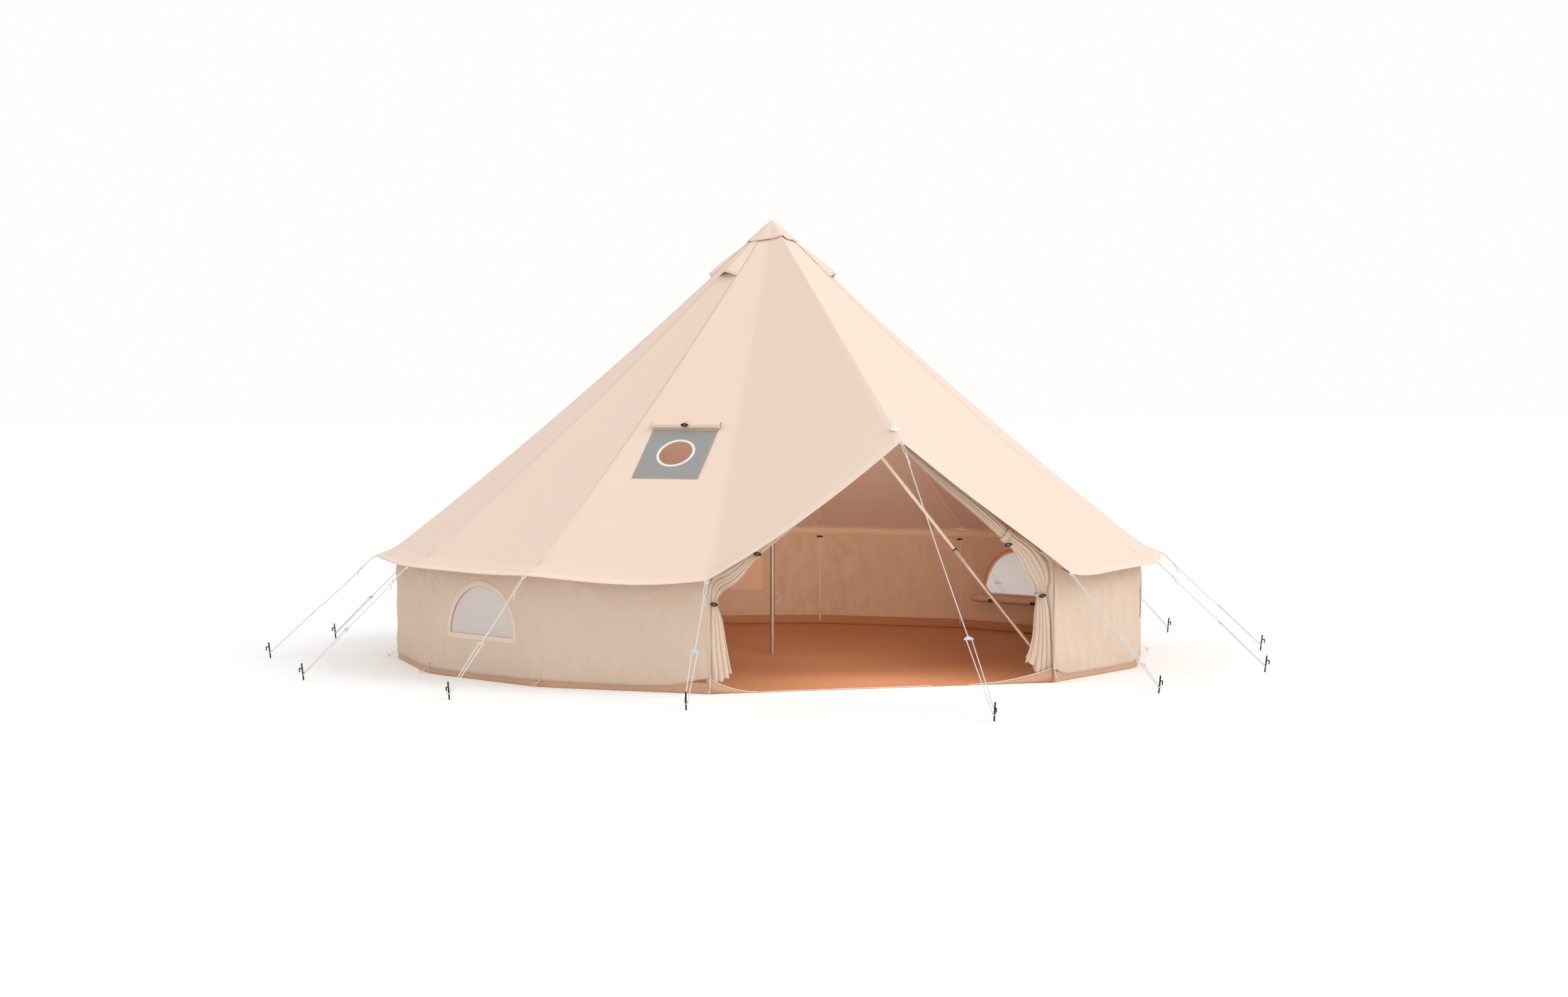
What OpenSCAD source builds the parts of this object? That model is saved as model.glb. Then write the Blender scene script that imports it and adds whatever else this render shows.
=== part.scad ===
// Canvas bell tent: fourteen-sided wall, pyramid roof with a door canopy,
// sewn-in groundsheet, centre pole with two door braces, guy ropes and pegs.
// Millimetres, +Z up, ground at z = 0, door faces -Y.

/* [Plan] */
// Width of the floor between opposite sides
floor_w = 5000; // [3000:10:7000]
// Height of the canvas wall at the eave seam
wall_h = 742; // [450:1:1200]
// Height of the roof's point
peak_h = 2974; // [1800:1:4000]

/* [Canvas] */
// Thickness of the canvas with its hems
canvas_t = 2; // [1:0.1:6]
// Height of the wall's lower hem above the ground
wall_lift = 40; // [20:1:120]
// How far the eave stands out beyond the wall
eave_out = 132; // [60:1:260]
// Fall of the eave over its reach, as a share of the reach
eave_fall = 0.4; // [0.1:0.05:0.8]
// Sag of the roof's slope at its middle
roof_sag = 60; // [0:1:90]

/* [Door] */
// How far the canopy's tip stands out beyond the threshold
tip_out = 285; // [120:1:500]
// Height of the canopy's tip
tip_h = 1516; // [1150:1:2000]
// Sag of the canopy's lower edge, as a share of its length
edge_sag = 0.03; // [0:0.005:0.06]
// Distance of the eyelet pin from the canopy's tip
pin_at = 127; // [60:1:250]
// Length of the eyelet pin on the canopy's ridge
pin_l = 62; // [30:1:120]
// Diameter of the eyelet pin
pin_d = 9; // [5:0.5:16]
// Diameter of the eyelet's washer
washer_d = 52; // [30:1:90]
// Thickness of the eyelet's washer
washer_t = 4; // [2:0.5:10]

/* [Groundsheet] */
// Thickness of the groundsheet
sheet_t = 2; // [1:0.1:6]
// Height of the groundsheet's upstand
upstand_h = 64; // [40:1:150]
// Length of the tapered gusset on each side of the door
gusset_l = 290; // [120:1:420]

/* [Windows] */
// Width of a window's opening
window_w = 640; // [300:1:800]
// Height of a window's opening
window_h = 308; // [200:1:420]
// Height of a window's sill above the ground
window_sill = 283; // [200:1:400]
// Width of the sewn trim round a window
trim_w = 36; // [15:1:60]
// Thickness of the sewn trim
trim_t = 2; // [1:0.1:5]
// Thickness of the insect mesh
mesh_t = 1; // [0.5:0.1:3]
// Lap of the mesh behind the opening's edge
mesh_lap = 14; // [5:1:25]
// Diameter of the rolled-down inner cover
cover_d = 62; // [30:1:90]
// Length of the rolled-down inner cover
cover_l = 820; // [400:1:900]

/* [Stove jack] */
// Width of the stove jack's patch
jack_w = 452; // [300:1:520]
// Length of the stove jack's patch along the slope
jack_l = 440; // [300:1:520]
// Thickness of the stove jack's patch
jack_t = 3; // [1:0.1:6]
// Diameter of the flue opening
flue_d = 220; // [80:1:240]
// Width of the ring round the flue opening
ring_w = 17; // [8:1:30]
// Height of the ring above the patch
ring_t = 3; // [1:0.5:8]
// Place of the jack on the slope, as a share of the floor's half width
jack_at = 0.674; // [0.6:0.002:0.72]
// Lap of the patch over the edge of the roof's opening
jack_lap = 65; // [20:1:80]
// Diameter of the rolled-up flap above the jack
roll_d = 46; // [25:1:80]
// Length of the rolled-up flap
roll_l = 478; // [300:1:560]

/* [Peak] */
// Reach of the peak cap from the middle
cap_r = 200; // [120:1:320]
// Length of a vent hood below the cap
hood_l = 262; // [150:1:420]
// Rise of a vent hood's mouth above the roof
hood_h = 46; // [25:1:110]

/* [Poles] */
// Diameter of the centre pole
pole_d = 32; // [25:0.5:60]
// Width of the pole's crown under the peak
crown_d = 130; // [80:1:200]
// Height of the brace collar on the centre pole
collar_z = 2250; // [1400:1:2450]
// Height of the brace collar
collar_h = 70; // [40:1:120]
// Diameter of the brace collar
collar_d = 64; // [50:1:100]
// Diameter of a door brace
brace_d = 26; // [14:0.5:32]
// Diameter of the sleeve at a brace's joint
sleeve_d = 30; // [18:0.5:40]
// Length of the sleeve at a brace's joint
sleeve_l = 90; // [40:1:200]
// Distance of a brace's foot from the middle, as a share of the floor's half width
brace_at = 0.788; // [0.6:0.002:0.86]
// Turn of a brace's foot from the door's middle, in degrees
brace_turn = 48.9; // [35:0.1:60]

/* [Guy ropes] */
// Diameter of a guy rope
rope_d = 6; // [3:0.5:12]
// How far the guy pegs stand out beyond the wall's corners
peg_out = 840; // [500:5:1400]
// How far the door's peg stands out beyond the canopy's tip
door_peg_out = 1515; // [900:5:2200]
// Place of a slider on its rope, as a share of the rope's length
slider_share = 0.58; // [0.3:0.01:0.75]
// Place of the slider on the door's rope, as a share of its length
door_slider_share = 0.735; // [0.4:0.005:0.85]
// Width of a rope slider
slider_w = 60; // [35:1:90]
// Height of a rope slider
slider_h = 26; // [16:1:45]
// Thickness of a rope slider
slider_t = 8; // [5:0.5:16]
// Height of a guy peg above the ground
peg_h = 108; // [60:1:160]
// Diameter of a guy peg
peg_d = 10; // [6:0.5:16]
// Height at which the rope meets its peg
hitch_h = 36; // [20:1:50]
// Height of a corner peg above the ground
corner_peg_h = 26; // [16:1:60]
// Diameter of a corner peg
corner_peg_d = 5; // [4:0.5:12]
// Distance of a corner peg from the wall
loop_out = 46; // [20:1:80]
// Width of a corner peg's loop
loop_w = 14; // [8:1:45]

/* [Door curtains] */
// Half width of a gathered curtain at its fullest
curtain_r = 58; // [35:1:80]
// Half width of a curtain where a strap ties it
tie_r = 27; // [18:1:35]

/* [Fit] */
// Clearance between pieces that rest on each other
seat_gap = 0.3; // [0.1:0.05:0.8]

/* [Hidden] */

sides = 14;
step = 360 / sides;
half = step / 2;
wall_a = floor_w / 2;
wall_r = wall_a / cos(half);
roof_v = canvas_t * 1.36;
in_a = wall_a - canvas_t;
up_a = in_a - seat_gap;
up_r = up_a / cos(half);
eave_m = wall_a + eave_out;
eave_r = eave_m / cos(half);
seam_z = wall_h + seat_gap + roof_v;
chord = cos(atan((peak_h - seam_z) / wall_a));
jack_m = wall_a * jack_at;
jack_top = jack_m - (jack_l / 2 + roll_d + 14) * chord;
jack_end = jack_m + (jack_l / 2 + 14) * chord;
roof_ms = [jack_top / 3, jack_top * 2 / 3, jack_top, jack_end, mix(jack_end, wall_a, 0.5), wall_a, eave_m];
roof_line = concat([[0, peak_h]], [for (m = roof_ms) [m, m > wall_a ? seam_z - eave_fall * (m - wall_a)
    : mix(peak_h, seam_z, m / wall_a) - 4 * roof_sag * m / wall_a * (1 - m / wall_a)]]);
slope_deg = atan2(roof_z(jack_top) - roof_z(jack_end), jack_end - jack_top);
top_m = 24;
top_r = top_m / cos(half);
top_z = roof_z(top_m);
tip_r = up_r * cos(step) + tip_out;
floor_z = sheet_t;
window_panels = [2, 4, 9, 11];
jack_panel = 12;
peg_lean = 7;
canvas_c = [0.93, 0.84, 0.74];
steel_c = [0.72, 0.72, 0.72];
dark_c = [0.10, 0.10, 0.10];
$fn = 48;

// Heights of the roof's outer face: on a panel's middle line, and on a corner ridge.
// The line is straight where the stove jack lies, and breaks at the wall.
function roof_z(m) = lookup(m, roof_line);
function ridge_z(r) = roof_z(r * cos(half));
function aim(k) = [sin(k * step), -cos(k * step)];
function at(k, r, z) = [r * sin(k * step), -r * cos(k * step), z];
function mix(a, b, t) = a + (b - a) * t;
function unit(v) = v / norm(v);
function roof_steps() = concat([top_m], roof_ms);
function door_z(r) = mix(top_z, tip_h, (r - top_r) / (tip_r - top_r));
function tip() = [0, -tip_r, tip_h];
function eave_tip(k) = k == 0 ? tip() : at(k, eave_r, ridge_z(eave_r));

// A point on a canopy: u runs down from the peak, v across from the corner ridge to the door ridge.
function canopy_at(s, u, v) =
    let (a = mix(at(s, top_r, top_z), [0, -top_r, top_z], v),
         b = mix(at(s, eave_r, ridge_z(eave_r)), tip(), v),
         r = mix(top_r, eave_r, u),
         sag = u < 1 ? ridge_z(r) - mix(top_z, ridge_z(eave_r), u) : 0)
    mix(a, b, u) + [0, 0, (1 - v) * sag];

// Turns a piece drawn at the door side to the panel after corner k, or to corner k.
module on_panel(k) { rotate([0, 0, (k + 0.5) * step]) children(); }
module on_corner(k) { rotate([0, 0, k * step]) children(); }

// The sector of one panel, as a vertical wedge.
module wedge(far, high) {
    linear_extrude(high)
        polygon([[0, 0], [far * tan(half), -far], [-far * tan(half), -far]]);
}

// Profile (distance out, height) swept along a panel.
module along_panel(wide) {
    rotate([90, 0, -90]) linear_extrude(wide, center = true) children();
}

// Moves a piece drawn flat, with +Y up the slope, onto a panel's slope at distance m.
module on_slope(m) {
    translate([0, -m, roof_z(m)]) rotate([slope_deg, 0, 0]) children();
}

// A straight round bar between two points.
module bar(p, q, d) {
    v = q - p;
    translate(p)
        rotate([0, acos(v[2] / norm(v)), atan2(v[1], v[0])])
            cylinder(d = d, h = norm(v));
}

// Closed shell from a grid of outer and inner points, rows by columns.
module shell(outer, inner) {
    n = len(outer);
    m = len(outer[0]);
    pts = concat([for (row = outer) for (p = row) p], [for (row = inner) for (p = row) p]);
    o = function(i, j) i * m + j;
    w = function(i, j) n * m + i * m + j;
    polyhedron(pts, concat(
        [for (i = [0:n - 2]) for (j = [0:m - 2]) each
            [[o(i, j), o(i, j + 1), o(i + 1, j + 1)], [o(i, j), o(i + 1, j + 1), o(i + 1, j)]]],
        [for (i = [0:n - 2]) for (j = [0:m - 2]) each
            [[w(i, j), w(i + 1, j + 1), w(i, j + 1)], [w(i, j), w(i + 1, j), w(i + 1, j + 1)]]],
        [for (i = [0:n - 2]) each
            [[o(i, 0), o(i + 1, 0), w(i + 1, 0)], [o(i, 0), w(i + 1, 0), w(i, 0)],
             [o(i, m - 1), w(i + 1, m - 1), o(i + 1, m - 1)], [o(i, m - 1), w(i, m - 1), w(i + 1, m - 1)]]],
        [for (j = [0:m - 2]) each
            [[o(0, j), w(0, j + 1), o(0, j + 1)], [o(0, j), w(0, j), w(0, j + 1)],
             [o(n - 1, j), o(n - 1, j + 1), w(n - 1, j + 1)], [o(n - 1, j), w(n - 1, j + 1), w(n - 1, j)]]]));
}

// Closed skin over a row of rings that have the same number of points.
module loft(rings) {
    n = len(rings);
    m = len(rings[0]);
    pts = [for (r = rings) for (p = r) p];
    polyhedron(pts, concat(
        [[for (j = [0:m - 1]) j]],
        [[for (j = [m - 1:-1:0]) (n - 1) * m + j]],
        [for (i = [0:n - 2]) for (j = [0:m - 1]) each
            let (k = (j + 1) % m)
            [[i * m + j, (i + 1) * m + j, (i + 1) * m + k], [i * m + j, (i + 1) * m + k, i * m + k]]]));
}

// Half-oval window outline with a flat sill, grown by g on every side.
module window_shape(g) {
    w = window_w / 2 + g;
    h = window_h + g;
    translate([0, window_sill])
        polygon(concat([[w, -g]], [for (t = [0:6:180]) [w * cos(t), h * sin(t)]], [[-w, -g]]));
}

// A window outline as a slab with its outer face at distance a from the middle.
module window_slab(g, a, t) {
    translate([0, -a, 0]) rotate([90, 0, 0]) mirror([0, 0, 1]) linear_extrude(t) window_shape(g);
}

module groundsheet() {
    color([0.62, 0.40, 0.27])
        linear_extrude(sheet_t) polygon([for (k = [1:sides - 1]) up_r * aim(k)]);
}

module upstand() {
    color([0.66, 0.45, 0.32]) {
        for (k = [1:12]) on_panel(k) upstand_side();
        for (s = [-1, 1]) gusset(s);
    }
}

module upstand_side() {
    w = up_a * tan(half) - seat_gap;
    v = (up_a - sheet_t) * tan(half) - seat_gap;
    translate([0, 0, floor_z]) linear_extrude(upstand_h - floor_z)
        polygon([[-w, -up_a], [w, -up_a], [v, sheet_t - up_a], [-v, sheet_t - up_a]]);
}

// The upstand runs out along the threshold as a triangle.
module gusset(s) {
    x = up_r * sin(step) - sheet_t - seat_gap;
    y = up_r * cos(step);
    translate([0, -y, 0]) rotate([90, 0, 0]) mirror([0, 0, 1]) linear_extrude(sheet_t)
        polygon([[s * x, floor_z], [s * (x - gusset_l), floor_z], [s * x, upstand_h]]);
}

module wall_panel(k) {
    color(canvas_c) on_panel(k) difference() {
        translate([0, 0, wall_lift]) linear_extrude(wall_h - wall_lift)
            polygon([[-wall_a * tan(half), -wall_a], [wall_a * tan(half), -wall_a],
                     [in_a * tan(half), -in_a], [-in_a * tan(half), -in_a]]);
        if (len(search(k, window_panels)) > 0) window_slab(0, wall_a + 1, canvas_t + 2);
    }
}

module roof_panel(k) {
    ms = roof_steps();
    color(canvas_c) on_panel(k) difference() {
        intersection() {
            along_panel(2 * eave_m)
                polygon(concat([for (m = ms) [m, roof_z(m)]],
                               [for (i = [len(ms) - 1:-1:0]) [ms[i], roof_z(ms[i]) - roof_v]]));
            wedge(eave_m + 10, peak_h);
        }
        if (k == jack_panel) on_slope(jack_m) 
            cube([jack_w - 2 * jack_lap, jack_l - 2 * jack_lap, 40], center = true);
    }
}

module canopy(s) {
    us = [for (m = roof_steps()) (m - top_m) / (eave_m - top_m)];
    vs = [for (j = [0:8]) j / 8];
    n = len(us);
    outer = [for (i = [0:n - 1]) [for (v = vs)
        canopy_at(s, i < n - 1 ? us[i] : 1 + edge_sag * 4 * v * (1 - v), v)]];
    inner = [for (row = outer) [for (p = row) p - [0, 0, roof_v]]];
    color(canvas_c) shell(s > 0 ? outer : inner, s > 0 ? inner : outer);
}

module peak_cap() {
    r = function(k) k == 0 ? cap_r * 0.85 : cap_r;
    z = function(k) (k == 0 ? door_z(r(k)) : ridge_z(r(k))) + seat_gap;
    crown = peak_h + seat_gap;
    pts = concat([[0, 0, crown + canvas_t]], [for (k = [0:sides - 1]) at(k, r(k), z(k) + canvas_t)],
                 [[0, 0, crown]], [for (k = [0:sides - 1]) at(k, r(k), z(k))]);
    b = sides + 1;
    color(canvas_c) polyhedron(pts, [for (k = [0:sides - 1]) each
        let (i = 1 + k, j = 1 + (k + 1) % sides)
        [[0, j, i], [b, b + i, b + j], [i, j, b + j], [i, b + j, b + i]]]);
}

// Canvas hood on a panel: its sides lie on the two ridges and its middle lifts towards the mouth.
module vent_hood(k) {
    r0 = cap_r + seat_gap;
    lift = seat_gap + roof_v;
    out = [for (t = [0, 0.5, 1])
        let (r = mix(r0, r0 + hood_l, t), z = ridge_z(r) + lift)
        [at(k, r, z), at(k + 0.5, r * cos(half), z + hood_h * t), at(k + 1, r, z)]];
    in = [for (row = out) [for (p = row) p - [0, 0, roof_v]]];
    shell(in, out);
}

module vent_hoods() {
    color(canvas_c) for (k = window_panels) vent_hood(k);
}

module centre_pole() {
    z0 = floor_z + seat_gap;
    z1 = roof_z(crown_d / 2) - roof_v - seat_gap;
    z2 = roof_z(top_m) - roof_v - seat_gap;
    color(steel_c) rotate_extrude() polygon([
        [0, z0], [pole_d / 2 + 8, z0], [pole_d / 2 + 8, z0 + 6], [pole_d / 2, z0 + 10],
        [pole_d / 2, z1 - 18], [crown_d / 2, z1 - 4], [crown_d / 2, z1], [top_m, z2], [0, z2]]);
}

module brace_collar() {
    color(steel_c) translate([0, 0, collar_z - collar_h / 2]) difference() {
        cylinder(d = collar_d, h = collar_h);
        translate([0, 0, -1]) cylinder(d = pole_d + 2 * seat_gap, h = collar_h + 2);
    }
}

module brace(s) {
    foot = [s * wall_a * brace_at * sin(brace_turn), -wall_a * brace_at * cos(brace_turn), floor_z + seat_gap];
    run = norm([foot[0], foot[1]]);
    lean = atan2(collar_z - foot[2], run);
    out = collar_d / 2 + seat_gap + brace_d / 2 * sin(lean);
    head = [foot[0] * out / run, foot[1] * out / run, collar_z];
    v = unit(foot - head);
    mid = mix(head, foot, 0.5);
    color(steel_c) intersection() {
        union() {
            bar(head, foot + v * brace_d * 2, brace_d);
            bar(mid - v * sleeve_l / 2, mid + v * sleeve_l / 2, sleeve_d);
            translate(foot) cylinder(d = brace_d * 2, h = 8);
        }
        translate([0, 0, floor_z + seat_gap]) linear_extrude(peak_h) square(floor_w, center = true);
    }
}

// Middle line and half width of a door curtain, from the canopy's tip to the floor.
// The right one is drawn further in than the left one.
function curtain_line(s) =
    let (a = up_r * sin(step), y = up_r * cos(step), in = s > 0)
    [[[s * 0.05 * a, -y - 0.66 * tip_out, mix(tip_h, seam_z, 0.12)], tie_r * 0.6],
     [[s * 0.25 * a, -y - 0.58 * tip_out, mix(tip_h, seam_z, 0.33)], curtain_r * 0.8],
     [[s * 0.46 * a, -y - 0.48 * tip_out, mix(tip_h, seam_z, 0.62)], curtain_r * 0.85],
     [[s * 0.635 * a, -y - 0.38 * tip_out, mix(tip_h, seam_z, 0.84)], tie_r * 1.15],
     [[s * (in ? 0.84 : 0.9) * a, -y - (in ? 0.16 : 0.02) * tip_out, wall_h * (in ? 0.95 : 0.92)], curtain_r * 0.8],
     [[s * (in ? 0.922 : 0.975) * a, -y + curtain_r * 0.72, wall_h * 0.74], tie_r],
     [[s * (in ? 0.932 : 0.975) * a, -y + curtain_r * 1.14, wall_h * 0.48], curtain_r * 0.75],
     [[s * (in ? 0.934 : 0.965) * a, -y + curtain_r * 1.34, wall_h * 0.2], curtain_r * 0.95],
     [[s * (in ? 0.93 : 0.955) * a, -y + curtain_r * 1.45, floor_z + seat_gap], curtain_r * 1.05]];

module curtain(s) {
    line = curtain_line(s);
    n = len(line);
    rings = [for (i = [0:n - 1])
        let (p = line[i][0], r = line[i][1],
             d = i == n - 1 ? [0, 0, -1] : unit(line[min(i + 1, n - 1)][0] - line[max(i - 1, 0)][0]),
             e = unit(cross(d, [0, 1, 0])), f = unit(cross(e, d)))
        [for (j = [0:11]) p + e * r * cos(j * 30) + f * r * 0.8 * sin(j * 30)]];
    color([0.87, 0.78, 0.68]) loft(rings);
}

module window_trims() {
    color([0.84, 0.77, 0.67]) for (k = window_panels) on_panel(k) difference() {
        window_slab(trim_w, wall_a + trim_t + seat_gap, trim_t);
        window_slab(0, wall_a + trim_t + seat_gap + 1, trim_t + 2);
    }
}

module window_meshes() {
    color([0.80, 0.74, 0.68]) for (k = window_panels) on_panel(k)
        window_slab(mesh_lap, in_a - seat_gap, mesh_t);
}

module window_covers() {
    y = in_a - seat_gap - cover_d / 2;
    color(canvas_c) for (k = window_panels) on_panel(k)
        translate([-cover_l / 2, -y, window_sill - mesh_lap - cover_d / 2 - 2]) rotate([0, 90, 0])
            cylinder(d = cover_d, h = cover_l);
}

module stove_jack() {
    color([0.60, 0.60, 0.58]) on_panel(jack_panel) on_slope(jack_m) translate([0, 0, seat_gap]) difference() {
        union() {
            translate([-jack_w / 2, -jack_l / 2, 0]) cube([jack_w, jack_l, jack_t]);
            cylinder(d = flue_d + 2 * ring_w, h = jack_t + ring_t);
        }
        translate([0, 0, -1]) cylinder(d = flue_d, h = jack_t + ring_t + 2);
    }
}

module stove_roll() {
    color(canvas_c) on_panel(jack_panel) on_slope(jack_m)
        translate([-roll_l / 2, jack_l / 2 + roll_d / 2 + seat_gap, roll_d / 2 + seat_gap]) rotate([0, 90, 0])
            cylinder(d = roll_d, h = roll_l);
}

module ridge_pin() {
    r = tip_r - pin_at;
    a = atan2(top_z - tip_h, tip_r - top_r);
    color([0.85, 0.85, 0.84]) translate([0, -r, door_z(r)]) {
        rotate([a, 0, 0]) translate([0, 0, seat_gap]) cylinder(d = washer_d, h = washer_t);
        translate([0, 0, seat_gap + washer_t]) cylinder(d = pin_d, h = pin_l);
    }
}

// Guy rope k: from its eave corner, through the slider, to the peg.
function peg_r(k) = k == 0 ? tip_r + door_peg_out : wall_r + peg_out;
function hitch(k) = at(k, peg_r(k) + hitch_h * tan(peg_lean), hitch_h);
function rope_dir(k) = unit(hitch(k) - eave_tip(k));
function slider_at(k) = mix(eave_tip(k), hitch(k), k == 0 ? door_slider_share : slider_share);

module guy_ropes() {
    color([0.95, 0.95, 0.94]) for (k = [-6:7]) {
        d = rope_dir(k);
        e = [cos(k * step), sin(k * step), 0];
        bar(eave_tip(k) + d * 1.2 - [0, 0, roof_v / 2], slider_at(k) - d * (slider_h / 2 + seat_gap), rope_d);
        for (s = [-1, 1])
            bar(slider_at(k) + d * (slider_h / 2 + seat_gap) + e * s * slider_w * 0.29,
                hitch(k) - d * (peg_d / 2 + rope_d * 0.55) + e * s * (rope_d / 2 + seat_gap), rope_d);
    }
}

module rope_sliders() {
    color([0.80, 0.84, 0.88]) for (k = [-6:7]) {
        d = rope_dir(k);
        translate(slider_at(k)) rotate([0, 0, k * step]) rotate([-asin(d[2]), 0, 0])
            linear_extrude(slider_t, center = true)
                polygon([[-slider_w / 2, -slider_h / 2], [slider_w / 2, -slider_h / 2],
                         [slider_w * 0.12, slider_h / 2], [-slider_w * 0.12, slider_h / 2]]);
    }
}

// Leaning pin with a hook on its outer side, cut level with the ground.
module guy_peg() {
    intersection() {
        rotate([peg_lean, 0, 0]) {
            translate([0, 0, -20]) cylinder(d = peg_d, h = peg_h + 20);
            translate([0, 0, peg_h * 0.72]) rotate([90, 0, 0]) cylinder(d = peg_d * 0.8, h = peg_d * 2);
            translate([0, -peg_d * 2, peg_h * 0.5]) cylinder(d = peg_d * 0.8, h = peg_h * 0.24);
        }
        linear_extrude(peg_h * 2) square(peg_h * 4, center = true);
    }
}

module guy_pegs() {
    color(dark_c) for (k = [-6:7]) on_corner(k) translate([0, -peg_r(k), 0]) guy_peg();
}

module corner_pegs() {
    color(dark_c) for (k = [1:13]) on_corner(k) translate([0, -wall_r - loop_out, 0]) {
        cylinder(d = corner_peg_d, h = corner_peg_h);
        translate([0, corner_peg_d / 2, corner_peg_h - corner_peg_d / 2]) rotate([90, 0, 0])
            cylinder(d = corner_peg_d, h = corner_peg_d * 3);
    }
}

// Webbing loop from the wall's lower hem out to the corner peg.
module peg_loops() {
    color([0.80, 0.72, 0.62]) for (k = [1:13]) on_corner(k) translate([-loop_w / 2, 0, 0])
        rotate([90, 0, 90]) linear_extrude(loop_w) polygon([
            [-wall_r - seat_gap, wall_lift + 25], [-wall_r - seat_gap, wall_lift],
            [-wall_r - loop_out + corner_peg_d / 2 + seat_gap, corner_peg_h * 0.3],
            [-wall_r - loop_out + corner_peg_d / 2 + seat_gap, corner_peg_h * 0.3 + 8]]);
}

groundsheet();
upstand();
for (i = [1:12]) wall_panel(i);
for (i = [1:12]) roof_panel(i);
canopy(-1);  // canopy_left
canopy(1);  // canopy_right
peak_cap();
vent_hoods();
centre_pole();
brace_collar();
brace(-1);  // brace_left
brace(1);  // brace_right
curtain(-1);  // curtain_left
curtain(1);  // curtain_right
window_trims();
window_meshes();
window_covers();
stove_jack();
stove_roll();
ridge_pin();
guy_ropes();
rope_sliders();
guy_pegs();
corner_pegs();
peg_loops();
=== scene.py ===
"""Canvas, fittings and stage of a bell tent, built on its CAD frame."""

import math

import bmesh
import bpy
from bpy.props import FloatProperty, FloatVectorProperty, IntProperty, PointerProperty
from mathutils import Matrix, Vector, noise


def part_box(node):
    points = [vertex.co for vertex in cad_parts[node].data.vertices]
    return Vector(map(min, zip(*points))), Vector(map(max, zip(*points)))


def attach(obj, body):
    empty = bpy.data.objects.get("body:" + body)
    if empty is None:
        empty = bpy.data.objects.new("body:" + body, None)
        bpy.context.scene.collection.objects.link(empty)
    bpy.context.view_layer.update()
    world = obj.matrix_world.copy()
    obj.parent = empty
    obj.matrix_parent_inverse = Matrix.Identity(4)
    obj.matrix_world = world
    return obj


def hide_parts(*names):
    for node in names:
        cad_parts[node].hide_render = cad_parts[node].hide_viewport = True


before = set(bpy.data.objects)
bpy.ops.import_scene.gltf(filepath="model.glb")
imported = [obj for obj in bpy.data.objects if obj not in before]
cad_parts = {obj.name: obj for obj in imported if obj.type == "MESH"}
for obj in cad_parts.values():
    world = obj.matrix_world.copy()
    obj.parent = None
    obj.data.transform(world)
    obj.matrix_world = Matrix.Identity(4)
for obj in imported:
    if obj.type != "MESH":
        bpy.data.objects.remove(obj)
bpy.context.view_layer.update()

bl_info = {
    "name": "Bell tent",
    "version": (1, 0, 0),
    "blender": (4, 5, 0),
    "location": "View3D > Sidebar > Tent",
    "description": "Canvas, fittings and stage of a bell tent on its CAD frame",
    "category": "Object",
}

SIDES = 14
STEP = math.tau / SIDES
HALF = STEP / 2
WINDOW_PANELS = (2, 4, 9, 11)
JACK_PANEL = 12
POCKET_PANEL = 6
PEG_LEAN = math.radians(7)
BRACE_TURN = math.radians(48.9)
BRACE_JOINT = 0.667
SLIDER_HOLE = 0.0174
THREAD = 0.0006
RIGHT = Vector((1, 0, 0))
BACK = Vector((0, 1, 0))
UP = Vector((0, 0, 1))
WALL_LOW, WALL_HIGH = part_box("wall_3")


def length(name, description, default):
    """Property that holds a length."""
    return FloatProperty(name=name, description=description, default=default, unit="LENGTH")


def factor(name, description, default):
    """Property that holds a share."""
    return FloatProperty(name=name, description=description, default=default, subtype="FACTOR")


def colour(name, description, *eye):
    """Property that holds a linear colour, from an eye-matched 0 to 255 one."""
    shares = [c / 255 for c in eye]
    linear = [c / 12.92 if c < 0.04045 else ((c + 0.055) / 1.055) ** 2.4 for c in shares]
    return FloatVectorProperty(name=name, description=description, default=linear, subtype="COLOR")


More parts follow.
